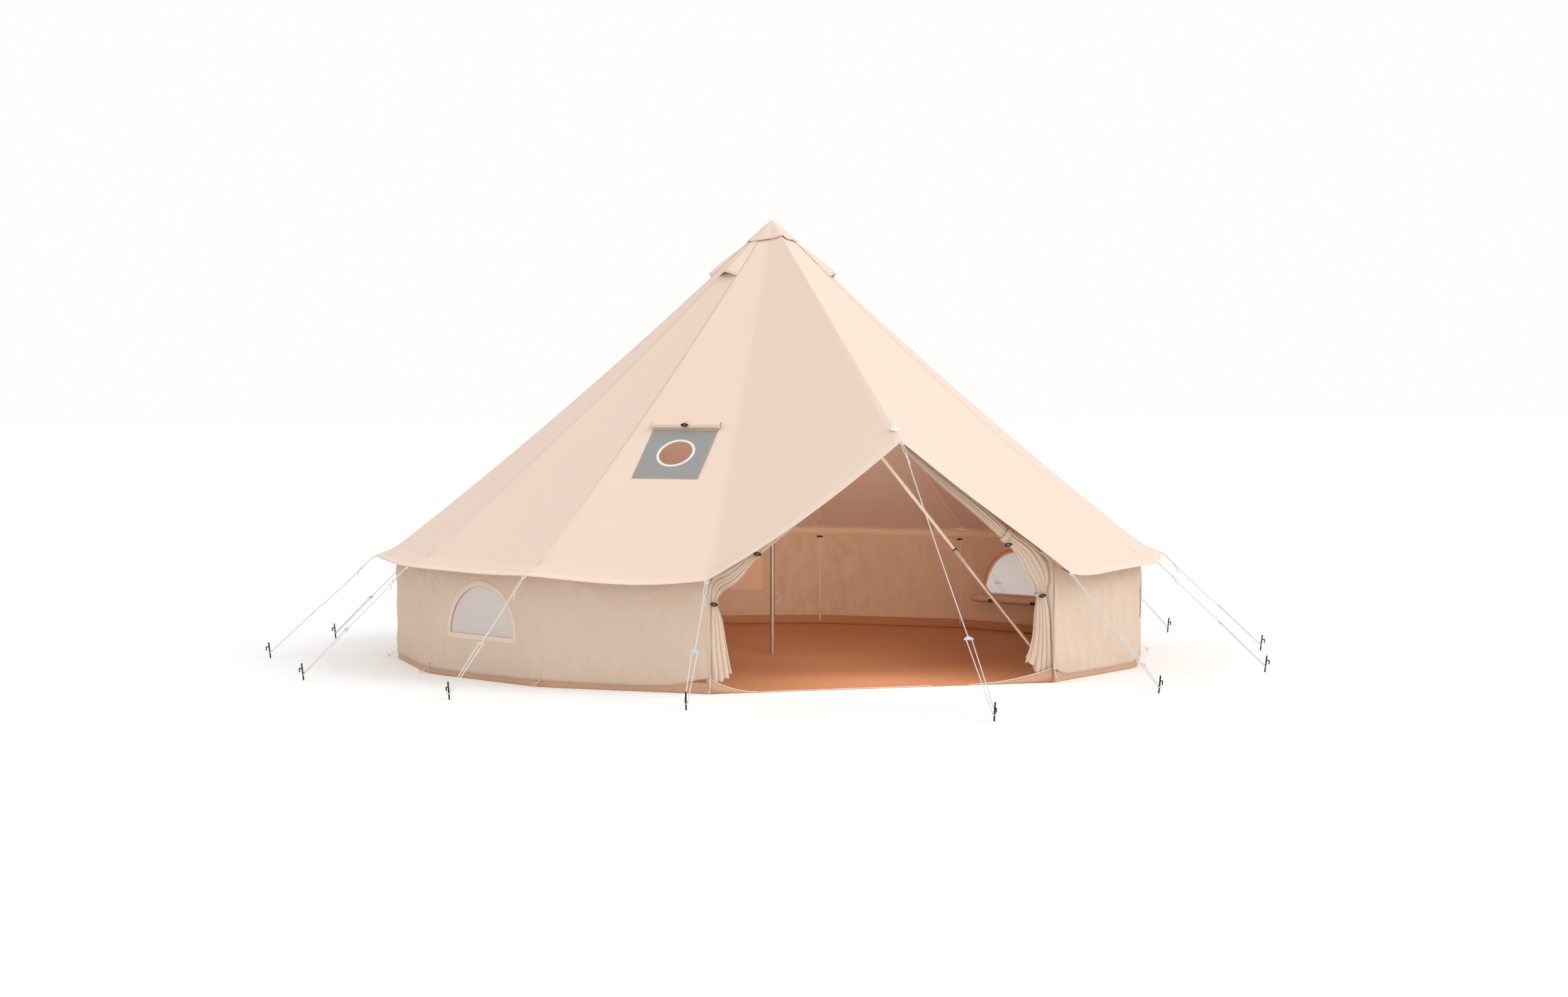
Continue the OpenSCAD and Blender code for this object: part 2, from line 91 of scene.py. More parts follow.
class TentSizes(bpy.types.PropertyGroup):
    """Sizes of the canvas and its fittings."""

    half_width: length("Half width", "From the middle to a wall panel", WALL_HIGH.x)
    wall_top: length("Wall height", "Height of the wall's upper seam", WALL_HIGH.z)
    wall_low: length("Wall lift", "Height of the wall's lower hem", WALL_LOW.z)
    wall_round: length("Corner rounding", "Radius of the wall's soft corners", 0.6)
    peak: length("Peak height", "Height of the roof's point", 2.974)
    seam: length("Eave seam", "Height of the roof's outer face over the wall", 0.74502)
    eave_out: length("Eave", "How far the eave stands out beyond the wall",
                     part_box("roof_3")[1].x - WALL_HIGH.x)
    eave_fall: factor("Eave fall", "Fall of the eave as a share of its reach", 0.4)
    roof_sag: length("Roof sag", "Sag of the roof's slope at its middle", 0.06)
    tip_out: length("Canopy reach", "From the threshold to the canopy's tip", 0.285)
    tip_high: length("Canopy height", "Height of the canopy's tip", 1.516)
    edge_sag: factor("Canopy sag", "Sag of the canopy's edge as a share of its slope", 0.03)
    canvas: length("Canvas", "Thickness of the canvas", 0.0018)
    hem: length("Hem band", "Width of the doubled band along the eave", 0.08)
    threshold: length("Threshold", "From the middle to the threshold", -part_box("groundsheet")[0].y)
    upstand: length("Upstand", "Height of the groundsheet's upstand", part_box("upstand")[1].z)
    window_half: length("Window half width", "Half width of a window's opening", 0.32)
    window_high: length("Window height", "Height of a window's opening", 0.308)
    window_sill: length("Window sill", "Height of a window's sill", 0.283)
    trim: length("Window trim", "Width of the sewn trim round a window", 0.036)
    cover: length("Window roll", "Radius of a rolled window cover", 0.031)
    cover_half: length("Window roll length", "Half length of a rolled window cover", 0.41)
    jack_at: length("Stove jack place", "From the middle to the stove jack", 1.685)
    jack_wide: length("Stove jack width", "Width of the stove jack's patch", 0.452)
    jack_long: length("Stove jack length", "Length of the patch down the slope", 0.44)
    flue: length("Flue", "Radius of the flue opening", 0.11)
    roll: length("Stove flap roll", "Radius of the rolled stove flap", 0.023)
    roll_half: length("Stove flap length", "Half length of the rolled stove flap", 0.239)
    cap: length("Peak cap", "Reach of the peak cap from the middle", 0.165)
    hood_long: length("Vent hood", "Length of a vent hood below the cap", 0.253)
    hood_lift: length("Vent hood lift", "Rise of a vent hood's mouth", 0.04)
    rope: length("Guy rope", "Radius of a guy rope", 0.003)
    peg_out: length("Guy pegs", "From a wall corner to its guy peg", 0.84)
    door_peg_out: length("Door peg", "From the canopy's tip to its peg", 1.515)
    hitch: length("Hitch", "Height of the rope on its peg", 0.036)
    toggle: length("Toggle", "Length of a toggle", 0.052)
    stitch: length("Stitch pitch", "Distance between stitches", 0.012)
    pleats: IntProperty(name="Curtain pleats", description="Folds in a tied-back door curtain", default=5)


class TentColours(bpy.types.PropertyGroup):
    """Colours of the canvas and its fittings."""

    roof: colour("Roof", "Roof canvas, outside", 243, 219, 203)
    # Painted warm light: the inside colours are warmer, darker copies of the outside canvas, standing in for
    # light through the canvas.
    roof_in_painted_light: colour("Roof inside", "Roof canvas, inside", 218, 187, 164)
    wall: colour("Wall", "Wall canvas, outside", 226, 202, 182)
    # Painted warm light on the walls' inside, as on the roof's.
    wall_in_painted_light: colour("Wall inside", "Wall canvas, inside", 218, 180, 149)
    curtain: colour("Curtains", "Door curtains", 226, 203, 183)
    trim: colour("Trim", "Window trim and tapes", 236, 216, 197)
    net: colour("Net", "Insect net", 255, 246, 240)
    webbing: colour("Webbing", "Straps, loops and ties", 222, 198, 170)
    sheet: colour("Groundsheet", "Groundsheet's floor", 206, 142, 100)
    # Partly the upstand's own tone, partly painted shade: darkened so that the side away from the light
    # reads dark.
    upstand: colour("Upstand", "Groundsheet's upstand", 206, 161, 133)
    steel: colour("Steel", "Poles and braces", 216, 196, 180)
    rope: colour("Rope", "Guy ropes", 240, 240, 240)
    slider: colour("Sliders", "Rope sliders", 208, 216, 224)
    dark: colour("Pegs and toggles", "Pegs and toggles", 28, 28, 30)
    patch: colour("Stove patch", "Stove jack's patch", 157, 157, 156)
    white: colour("White plastic", "Flue ring and eyelets", 240, 239, 236)


def lerp(a, b, t):
    """Value or point at share t of the way from a to b."""
    return a + (b - a) * t


def ease(t):
    """Smooth step from 0 to 1."""
    t = min(max(t, 0.0), 1.0)
    return t * t * (3 - 2 * t)


def bell(x, width):
    """Bell curve of height 1."""
    return math.exp(-(x / width) ** 2)


def ripple(x, y, seed):
    """Repeatable soft noise from -1 to 1."""
    return noise.noise(Vector((x, y, seed * 7.31)))


def aim(k):
    """Outward direction at corner k."""
    return Vector((math.sin(k * STEP), -math.cos(k * STEP), 0))


def tangent(k):
    """Direction along the wall at corner k, towards the next one."""
    return Vector((math.cos(k * STEP), math.sin(k * STEP), 0))


def facing(v, way):
    """v, turned round where it points against way."""
    return v if v.dot(way) >= 0 else -v


def circle(centre, first, second, count, extra=0):
    """Points round an ellipse with these half axes. With extra 1, its first point also ends it."""
    turns = [math.tau * i / count for i in range(count + extra)]
    return [centre + first * math.cos(a) + second * math.sin(a) for a in turns]


def sweep(down, across, point):
    """Rows of the points that point(u, v) gives for even shares down and across."""
    return [[point(i / down, j / across) for j in range(across + 1)] for i in range(down + 1)]


def steps(a, b, count):
    """Even steps from a to b, both ends included."""
    return [lerp(a, b, i / count) for i in range(count + 1)]


def ways_of(path):
    """Direction of a path at each of its points."""
    last = len(path) - 1
    return [(path[min(i + 1, last)] - path[max(i - 1, 0)]).normalized() for i in range(len(path))]


def runs_of(path):
    """Distance along a path to each of its points."""
    runs = [0.0]
    for p, q in zip(path, path[1:]):
        runs.append(runs[-1] + (q - p).length)
    return runs


def catmull(points, count):
    """Smooth line through points, count steps to a span."""
    ends = [points[0] * 2 - points[1]] + list(points) + [points[-1] * 2 - points[-2]]
    line = []
    for i in range(1, len(ends) - 2):
        a, b, c, d = ends[i - 1:i + 3]
        for t in [j / count for j in range(count)]:
            line.append(0.5 * (2 * b + (c - a) * t + (2 * a - 5 * b + 4 * c - d) * t * t
                               + (3 * b - a - 3 * c + d) * t ** 3))
    return line + [points[-1].copy()]


def turn_of(x_axis, z_axis):
    """Euler angles of a frame with this x axis and, near enough, this z axis."""
    x = x_axis.normalized()
    y = z_axis.cross(x).normalized()
    return Matrix((x, y, x.cross(y))).transposed().to_euler()


def round_wall(plain, window=0):
    """Places (panel, share) from one door edge round to the other, at so many steps a panel."""
    counts = {k: window if window and k in WINDOW_PANELS else plain for k in range(1, 13)}
    return [(k, i / count) for k, count in counts.items() for i in range(count)] + [(12, 1.0)]


class TentForm:
    """The canvas's shapes, worked out from the sizes in the panel."""

    def __init__(self):
        s = bpy.context.scene.tent_sizes
        self.s = s
        self.eave_m = s.half_width + s.eave_out
        self.eave_r = self.eave_m / math.cos(HALF)
        self.wall_r = s.half_width / math.cos(HALF)
        self.top_m = 0.024
        self.top_r = self.top_m / math.cos(HALF)
        self.top_z = self.roof_z(self.top_m)
        self.tip_r = s.threshold + s.tip_out
        self.panel = 2 * s.half_width * math.tan(HALF)
        self.jack_fall = math.atan((self.roof_z(s.jack_at - 0.1) - self.roof_z(s.jack_at + 0.1)) / 0.2)

    def roof_z(self, m):
        """Height of the roof on a panel's middle line: a sagging slope that breaks over the wall."""
        s = self.s
        share = m / s.half_width
        slope = lerp(s.peak, s.seam, share) - 4 * s.roof_sag * share * (1 - share)
        flap = s.seam - s.eave_fall * (m - s.half_width)
        return (slope + flap + math.hypot(slope - flap, 0.006)) / 2

    def ridge(self, k, u):
        """Point on ridge k, from 0 at the peak to 1 at the eave. Ridge 0 runs out over the door."""
        if k % SIDES == 0:
            r = lerp(self.top_r, self.tip_r, u)
            return aim(0) * r + UP * lerp(self.top_z, self.s.tip_high, u)
        r = lerp(self.top_r, self.eave_r, u)
        return aim(k) * r + UP * self.roof_z(r * math.cos(HALF))

    def down_slope(self, r):
        """Share of the slope at distance r from the middle."""
        return (r - self.top_r) / (self.eave_r - self.top_r)

    def hem_drop(self, k, t):
        """How far the hem hangs below the line between two guys."""
        if k == 1:
            run = t * self.panel / 0.27
            return 0.028 * run * math.exp(1 - run)
        if k == 12:
            return 0.036 * math.sin(math.pi * max(t, 0.0) ** 1.25)
        return 0.0 if k in (0, 13) else 0.01 * 4 * t * (1 - t)

    def roof_base(self, k, t, u):
        """Point on the roof between two ridges, before the canvas sags."""
        k = k % SIDES
        reach = 0.0
        if k in (0, 13):
            lean = 0.55 + 0.9 * (t if k == 0 else 1 - t)
            reach = self.s.edge_sag * lean * 4 * t * (1 - t) * ease((u - 0.75) / 0.25)
        point = lerp(self.ridge(k, u + reach), self.ridge(k + 1, u + reach), t)
        drop = self.hem_drop(k, t) * ease((u - 0.95) / 0.05)
        return point - UP * drop + aim(k + 0.5) * drop * 0.25

    def roof_normal(self, k, t, u):
        """Direction off the roof, from a short step across the panel and one down it."""
        step = 0.004
        across = self.roof_base(k, t + step, u) - self.roof_base(k, t - step, u)
        down = self.roof_base(k, t, min(u + step, 1.0)) - self.roof_base(k, t, u - step)
        return down.cross(across).normalized()

    def roof_at(self, k, t, u, lift=0.0):
        """Point on the roof's canvas, lifted off it by lift."""
        k = k % SIDES
        wide = math.sin(math.pi * min(max(t, 0.0), 1.0))
        run = (k + t) * self.panel
        sag = 0.01 * wide * math.sin(math.pi * min(u / 0.93, 1.0) ** 1.3) if k != JACK_PANEL else 0.0
        wave = 0.0045 * ripple(run * 1.9, u * 5, 3) * wide * ease((u - 0.955) / 0.045)
        return self.roof_base(k, t, u) + self.roof_normal(k, t, u) * (wave - sag + lift)

    def panel_width(self, k, u):
        """Width of roof panel k at share u of the way from the peak to the eave."""
        return (self.ridge(k + 1, u) - self.ridge(k, u)).length

    def slope_axes(self, k):
        """Across, up the slope and off the slope, on panel k."""
        out = aim(k + 0.5)
        rise, level = math.sin(self.jack_fall), math.cos(self.jack_fall)
        return tangent(k + 0.5), UP * rise - out * level, out * rise + UP * level

    def on_slope(self, k, x, y, lift):
        """Point on panel k's straight slope: x across and y up from the stove jack's place."""
        across, up, off = self.slope_axes(k)
        seat = aim(k + 0.5) * self.s.jack_at + UP * self.roof_z(self.s.jack_at)
        return seat + across * x + up * y + off * lift

    def plan_at(self, k, t, a):
        """Point of the wall's plan at distance a, with soft corners."""
        rho = self.s.wall_round
        wide = 2 * a * math.tan(HALF)
        start = wide / 2 - rho * math.tan(HALF)
        x, y = (t - 0.5) * wide, a
        ends = (k == 1 and x < 0) or (k == 12 and x > 0)
        if abs(x) > start and not ends:
            turn = (abs(x) - start) / (wide / 2 - start) * HALF
            x = math.copysign(start + rho * math.sin(turn), x)
            y = a - rho + rho * math.cos(turn)
        return aim(k + 0.5) * y + tangent(k + 0.5) * x

    def wall_relief(self, k, t, z):
        """Soft creases of the wall, in metres outwards."""
        s = self.s
        if k == POCKET_PANEL and abs(t - 0.5) * self.panel < 0.26 and 0.12 < z < 0.56:
            return 0.0
        run = (k + t) * self.panel
        share = (z - s.wall_low) / (s.wall_top - s.wall_low)
        soft = ease(share / 0.15) * ease((1 - share) / 0.12)
        relief = 0.01 * ripple(run * 1.3 + z * 0.9, z * 1.6 - run * 0.25, 1)
        relief += 0.015 * ripple(run * 4.2 + z * 2.8, z * 1.8 - run * 0.6, 2)
        relief += 0.009 * ripple(run * 9 - z * 3.5, z * 2.2, 5)
        relief += 0.012 * bell(13 * self.panel - run, 0.42) * ripple(run * 11, z * 1.2, 61)
        for x, seed in ((t * self.panel, 51), ((1 - t) * self.panel, 52)):
            fall = s.wall_top - z
            far = math.hypot(x, fall)
            pull = ease(far / 0.14) * bell(far, 0.5)
            relief += 0.019 * pull * ripple(math.atan2(x, fall) * 4.5, far * 1.1 + k, seed)
        if k in WINDOW_PANELS:
            x = abs(t - 0.5) * self.panel
            away = max(x - s.window_half, s.window_sill - z, z - s.window_sill - s.window_high)
            soft *= ease((away - 0.05) / 0.12)
        return relief * soft

    def wall_at(self, k, t, z, lift=0.0):
        """Point on the wall's outer face, lifted outwards by lift."""
        relief = self.wall_relief(k, t, z) if 1 <= k <= 12 else 0.0
        return self.plan_at(k, t, self.s.half_width + relief + lift) + UP * z

    def on_panel(self, k, x, z, lift=0.0):
        """Point on wall panel k, x across from its middle."""
        return self.wall_at(k, x / self.panel + 0.5, z, lift)

    def wall_hem(self, k, t):
        """Height of the wall's lower hem, which rises beside the door and dips between pegs."""
        left = (13 - k - t) * self.panel
        right = (k + t - 1) * self.panel
        rise = 0.052 * bell(left, 0.19) + 0.042 * bell(right, 0.1)
        dip = 0.006 * math.sin(math.pi * t)
        return self.s.wall_low + rise - dip + 0.002 * ripple((k + t) * 5, 0, 9)

    def peg_hitch(self, k):
        """Where guy k's rope goes round its leaning peg."""
        s = self.s
        foot = self.tip_r + s.door_peg_out if k == 0 else self.wall_r + s.peg_out
        return aim(k) * (foot + s.hitch * math.tan(PEG_LEAN)) + UP * s.hitch

    def window_outline(self, grow, count=40):
        """Half-oval window outline with a flat sill, grown by grow, from the lower left corner round."""
        s = self.s
        w, h, sill = s.window_half + grow, s.window_high + grow, s.window_sill
        points = [Vector((lerp(-w, w, i / 10), sill - grow)) for i in range(10)]
        points += [Vector((w, sill - grow * (1 - i / 3))) for i in range(3)]
        for turn in [math.pi * i / count for i in range(count)]:
            points.append(Vector((w * math.cos(turn), sill + h * math.sin(turn))))
        return points + [Vector((-w, sill - grow * i / 3)) for i in range(3)]


def place(obj, slot, *nodes):
    """Links a finished piece and fixes it to the tent."""
    bpy.context.scene.collection.objects.link(obj)
    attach(obj, "root")
    if nodes:
        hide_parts(*nodes)
    return obj


def paint(finish, *nodes):
    """Gives CAD pieces that stay their finish."""
    for name in nodes:
        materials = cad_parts[name].data.materials
        materials.clear()
        materials.append(bpy.data.materials[finish])


class Patchwork:
    """Gathers grids and tubes into one mesh, with one UV pair for each face corner."""

    def __init__(self):
        self.points = []
        self.faces = []
        self.uvs = []

    def face(self, corners, pairs, flip=False):
        """Adds one face, turned round by flip."""
        self.faces.append(corners[::-1] if flip else corners)
        self.uvs.append(pairs[::-1] if flip else pairs)

    def grid(self, rows, uvs, closed=False, keep=None, flip=False):
        """Sheet of points in rows. Closed joins the last column to the first."""
        base = len(self.points)
        wide = len(rows[0])
        for row in rows:
            self.points.extend(row)
        for i in range(len(rows) - 1):
            for j in range(wide if closed else wide - 1):
                if keep and not keep(i, j):
                    continue
                here = base + i * wide
                right = (j + 1) % wide
                corners = [here + j, here + wide + j, here + wide + right, here + right]
                self.face(corners, [uvs(i, j), uvs(i + 1, j), uvs(i + 1, j + 1), uvs(i, j + 1)], flip)
        return self

    def ends(self, base, rows, first, last, flip):
        """Closes both ends of a closed grid, whose first and last rows have these UV pairs."""
        count = len(first)
        top = base + (rows - 1) * count
        self.face([base + j for j in range(count)], first, flip)
        self.face([top + j for j in range(count)], last, not flip)

    def fan(self, tip, count, uvs):
        """Closes the first row of the mesh with triangles to a tip."""
        self.points.append(tip)
        for j in range(count):
            right = (j + 1) % count
            self.face([len(self.points) - 1, j, right], uvs(j, right))

    def tube(self, path, radius, sides=8, caps=True):
        """Round cord along a path, with its length on the UV's second axis."""
        ways, runs, rows = ways_of(path), runs_of(path), []
        side = ways[0].cross(UP if abs(ways[0].z) < 0.9 else RIGHT).normalized()
        for point, way in zip(path, ways):
            side = (side - way * side.dot(way)).normalized()
            rows.append(circle(point, side * radius, way.cross(side) * radius, sides))
        base = len(self.points)
        self.grid(rows, lambda i, j: (j / sides, runs[i]), closed=True, flip=True)
        if caps:
            self.ends(base, len(rows), [(0.0, 0.0)] * sides, [(0.0, runs[-1])] * sides, True)

    def band(self, path, normals, wide, thick):
        """Flat tape along a path, lying on the given normals."""
        h = wide / 2
        e = min(thick, h) * 0.4
        outline = [(-h, 0), (-h, thick - e), (-h + e, thick), (h - e, thick), (h, thick - e), (h, 0)]
        share = [-h, -h, -wide * 0.45, wide * 0.45, h, h, -h]
        runs, rows = runs_of(path), []
        for point, way, normal in zip(path, ways_of(path), normals):
            n = normal.normalized()
            side = way.cross(n).normalized()
            rows.append([point + side * x + n * z for x, z in outline])
        base = len(self.points)
        self.grid(rows, lambda i, j: (share[j], runs[i]), closed=True)
        self.ends(base, len(rows), [(x, 0.0) for x in share[:6]], [(x, runs[-1]) for x in share[:6]], False)

    def piece(self, name, *finishes):
        """Mesh object with these finishes."""
        mesh = bpy.data.meshes.new(name)
        mesh.from_pydata([tuple(p) for p in self.points], [], self.faces)
        flat = [c for face in self.uvs for pair in face for c in pair]
        mesh.uv_layers.new(name="Cloth").data.foreach_set("uv", flat)
        for finish in finishes:
            mesh.materials.append(bpy.data.materials[finish])
        mesh.polygons.foreach_set("use_smooth", [True] * len(mesh.polygons))
        mesh.update()
        return bpy.data.objects.new(name, mesh)

    def cloth(self, name, thick, *finishes):
        """Mesh object with its thickness, inwards, and its lining in the second finish."""
        made = self.piece(name, *finishes)
        solid = made.modifiers.new("Canvas thickness", "SOLIDIFY")
        solid.thickness = thick
        solid.offset = -1.0
        solid.use_even_offset = False
        solid.material_offset = len(finishes) - 1
        return made


def welded(obj):
    """Joins a part's doubled points and turns its faces outwards."""
    work = bmesh.new()
    work.from_mesh(obj.data)
    bmesh.ops.remove_doubles(work, verts=work.verts, dist=1e-6)
    bmesh.ops.recalc_face_normals(work, faces=work.faces)
    work.to_mesh(obj.data)
    work.free()
    return obj


def feed(tree, entry, value):
    """Links a socket into an entry, or sets a plain value on it."""
    if isinstance(value, bpy.types.NodeSocket):
        tree.links.new(entry, value)
    else:
        entry.default_value = value


def node(tree, kind, values=None, **settings):
    """Adds a node, with its settings and what feeds its entries."""
    made = tree.nodes.new(kind)
    for key, value in settings.items():
        setattr(made, key, value)
    for key, value in (values or {}).items():
        feed(tree, made.inputs[key], value)
    return made


def new_group(name, kind, inputs, outputs):
    """Node group with named sockets; returns its tree, what comes in and what goes out."""
    tree = bpy.data.node_groups.new(name, kind)
    for in_out, sockets in (("INPUT", inputs), ("OUTPUT", outputs)):
        for label, socket in sockets.items():
            tree.interface.new_socket(label, in_out=in_out, socket_type="NodeSocket" + socket)
    return tree, node(tree, "NodeGroupInput").outputs, node(tree, "NodeGroupOutput").inputs


def spread_parts(tree, given, made, values):
    """Ends a Geometry Nodes tree: parts on points, realised and given their finish."""
    spread = node(tree, "GeometryNodeInstanceOnPoints", values)
    real = node(tree, "GeometryNodeRealizeInstances", {"Geometry": spread.outputs["Instances"]})
    finish = {"Geometry": real.outputs["Geometry"], "Material": given["Finish"]}
    feed(tree, made[0], node(tree, "GeometryNodeSetMaterial", finish).outputs["Geometry"])
    return tree


def copies_tree():
    """Geometry Nodes tree: a copy of one part on each point, turned by the point's own turn."""
    if "Part on points" in bpy.data.node_groups:
        return bpy.data.node_groups["Part on points"]
    tree, given, made = new_group(
        "Part on points", "GeometryNodeTree",
        {"Points": "Geometry", "Part": "Object", "Finish": "Material"}, {"Copies": "Geometry"})
    part = node(tree, "GeometryNodeObjectInfo", {"Object": given["Part"], "As Instance": True})
    turn = node(tree, "GeometryNodeInputNamedAttribute", {"Name": "turn"}, data_type="FLOAT_VECTOR")
    euler = node(tree, "FunctionNodeEulerToRotation", {0: turn.outputs[0]})
    return spread_parts(tree, given, made, {
        "Points": given["Points"], "Instance": part.outputs["Geometry"], "Rotation": euler.outputs[0]})


def stitch_tree():
    """Geometry Nodes tree: rounded stitches at an even pitch along each line of edges."""
    if "Stitch rows" in bpy.data.node_groups:
        return bpy.data.node_groups["Stitch rows"]
    tree, given, made = new_group(
        "Stitch rows", "GeometryNodeTree",
        {"Rows": "Geometry", "Pitch": "Float", "Thread": "Float", "Finish": "Material"},
        {"Stitches": "Geometry"})
    curve = node(tree, "GeometryNodeMeshToCurve", {"Mesh": given["Rows"]})
    even = node(tree, "GeometryNodeResampleCurve", mode="LENGTH")
    feed(tree, even.inputs["Curve"], curve.outputs["Curve"])
    feed(tree, even.inputs["Length"], given["Pitch"])
    bead = node(tree, "GeometryNodeMeshUVSphere", {"Segments": 5, "Rings": 4, "Radius": 1.0})
    way = node(tree, "GeometryNodeInputTangent")
    align = node(tree, "FunctionNodeAlignRotationToVector", {"Vector": way.outputs[0]}, axis="Z")
    reach = math_node(tree, "MULTIPLY", given["Pitch"], 0.36)
    size = node(tree, "ShaderNodeCombineXYZ", {"X": given["Thread"], "Y": given["Thread"], "Z": reach})
    return spread_parts(tree, given, made, {
        "Points": even.outputs["Curve"], "Instance": bead.outputs["Mesh"],
        "Rotation": align.outputs["Rotation"], "Scale": size.outputs[0]})


def settled(name, mesh, tree, values):
    """Plain mesh object that a Geometry Nodes tree makes of a carrier mesh."""
    carrier = bpy.data.objects.new(name + "_carrier", mesh)
    bpy.context.scene.collection.objects.link(carrier)
    modifier = carrier.modifiers.new("Parts", "NODES")
    modifier.node_group = tree
    for item in tree.interface.items_tree:
        if item.in_out == "INPUT" and item.name in values:
            modifier[item.identifier] = values[item.name]
    bpy.context.view_layer.update()
    graph = bpy.context.evaluated_depsgraph_get()
    made = bpy.data.meshes.new_from_object(carrier.evaluated_get(graph))
    made.name = name
    bpy.data.objects.remove(carrier)
    return bpy.data.objects.new(name, made)


def copies(name, part, spots, finish):
    """One plain mesh with a copy of part at each (point, turn)."""
    mesh = bpy.data.meshes.new(name + "_points")
    mesh.from_pydata([tuple(p) for p, _ in spots], [], [])
    turns = mesh.attributes.new("turn", "FLOAT_VECTOR", "POINT")
    turns.data.foreach_set("vector", [a for _, e in spots for a in e])
    bpy.context.scene.collection.objects.link(part)
    made = settled(name, mesh, copies_tree(), {"Part": part, "Finish": bpy.data.materials[finish]})
    bpy.data.objects.remove(part)
    return made


def stitches(name, rows, pitch):
    """One plain mesh of stitches along rows of points."""
    points, edges = [], []
    for row in rows:
        base = len(points)
        points.extend(tuple(p) for p in row)
        edges.extend((base + i, base + i + 1) for i in range(len(row) - 1))
    mesh = bpy.data.meshes.new(name + "_rows")
    mesh.from_pydata(points, edges, [])
    values = {"Pitch": pitch, "Thread": THREAD, "Finish": bpy.data.materials["Thread"]}
    return settled(name, mesh, stitch_tree(), values)


def math_node(tree, operation, *values):
    """Math node on sockets or plain numbers; returns its output."""
    return node(tree, "ShaderNodeMath", dict(enumerate(values)), operation=operation).outputs[0]


def ranged(tree, value, low=0.0, high=1.0, start=0.0, end=1.0):
    """Value that goes from start to end while the given one goes from low to high."""
    return node(tree, "ShaderNodeMapRange", {0: value, 1: low, 2: high, 3: start, 4: end}).outputs[0]


def grain(tree, where, scale, detail, rough=0.5, bend=0.0):
    """Noise of a scale at a place."""
    values = {"Vector": where, "Scale": scale, "Detail": detail, "Roughness": rough, "Distortion": bend}
    return node(tree, "ShaderNodeTexNoise", values).outputs[0]


def stretched(tree, where, **values):
    """Place that is moved, turned or scaled."""
    entries = {key.capitalize(): value for key, value in values.items()}
    return node(tree, "ShaderNodeMapping", {"Vector": where, **entries}).outputs[0]


def parts_of(tree, where):
    """The three parts of a place."""
    return node(tree, "ShaderNodeSeparateXYZ", {0: where}).outputs


def scaled(tree, where, gain):
    """Place times a gain."""
    return node(tree, "ShaderNodeVectorMath", {0: where, "Scale": gain}, operation="SCALE").outputs[0]


def effect(tree, group, where, **values):
    """Places a shader group, reading a place; returns its outputs."""
    entries = {"Place": where, **values}
    return node(tree, "ShaderNodeGroup", entries, node_tree=bpy.data.node_groups[group]).outputs


def shade(base, gain):
    """Colour times a gain, with its alpha."""
    return tuple(min(c * gain, 1.0) for c in base[:3]) + (1.0,)


def mix(tree, share, first, second):
    """Mix of two colours or sockets by a share."""
    return node(tree, "ShaderNodeMix", {0: share, 6: first, 7: second}, data_type="RGBA").outputs[2]


def bumped(tree, shader, *heights):
    """Chains bumps (height, strength, distance) into the shader's normal."""
    last = {}
    for height, strength, distance in heights:
        values = {"Height": height, "Strength": strength, "Distance": distance, **last}
        last = {"Normal": node(tree, "ShaderNodeBump", values).outputs[0]}
    feed(tree, shader["Normal"], last["Normal"])


def weave_group():
    """Plain weave: over-and-under threads with slubs, from a UV in metres."""
    tree, given, made = new_group("Plain weave", "ShaderNodeTree", {"Place": "Vector", "Threads": "Float"},
                                  {"Height": "Float", "Slub": "Float"})
    parts = parts_of(tree, scaled(tree, given["Place"], given["Threads"]))
    warp, weft = [math_node(tree, "SINE", math_node(tree, "MULTIPLY", parts[i], math.pi)) for i in (0, 1)]
    over = math_node(tree, "MULTIPLY", warp, weft)
    feed(tree, made["Height"], math_node(tree, "MULTIPLY_ADD", over, 0.5, 0.5))
    slub = grain(tree, stretched(tree, given["Place"], scale=(40.0, 170.0, 1.0)), 1.0, 3.0, 0.6)
    feed(tree, made["Slub"], ranged(tree, slub, 0.25, 0.75))


def mottle_group():
    """Slow and fast cloudiness of a surface, from a place in metres."""
    tree, given, made = new_group("Cloudy tone", "ShaderNodeTree", {"Place": "Vector", "Size": "Float"},
                                  {"Slow": "Float", "Fast": "Float"})
    for label, gain, detail in (("Slow", 1.0, 3.0), ("Fast", 14.0, 5.0)):
        size = math_node(tree, "MULTIPLY", given["Size"], gain)
        feed(tree, made[label], grain(tree, given["Place"], size, detail, 0.55))


def crease_group():
    """Soft creases left by folding and handling: their height, and painted light and shade on their flanks.
    """
    tree, given, made = new_group("Cloth creases", "ShaderNodeTree", {"Place": "Vector", "Size": "Float"},
                                  {"Height": "Float", "Flank light": "Float"})
    where, size = given["Place"], given["Size"]
    bend = math_node(tree, "SUBTRACT", grain(tree, where, size, 2.0, bend=1.2), 0.5)
    fold = math_node(tree, "MULTIPLY", math_node(tree, "ABSOLUTE", bend), 4.0)
    sharp = math_node(tree, "MULTIPLY", math_node(tree, "POWER", fold, 0.5), 0.35)
    broad = grain(tree, where, math_node(tree, "MULTIPLY", size, 0.6), 3.0)
    feed(tree, made["Height"], math_node(tree, "ADD", sharp, broad))
    # Painted light and shade: two shifted noises give a fake slope, so one flank of each crease is lighter
    # and the other darker, as if lit from one side.
    sides = []
    for shift in (0.0, 0.025):
        slant = stretched(tree, where, location=(shift, shift, 0.0), rotation=(0.0, 0.0, 0.5),
                          scale=(1.0, 0.6, 1.0))
        sides.append(grain(tree, slant, math_node(tree, "MULTIPLY", size, 2.6), 2.0, 0.45))
    feed(tree, made["Flank light"], ranged(tree, math_node(tree, "SUBTRACT", *sides), -0.16, 0.16))


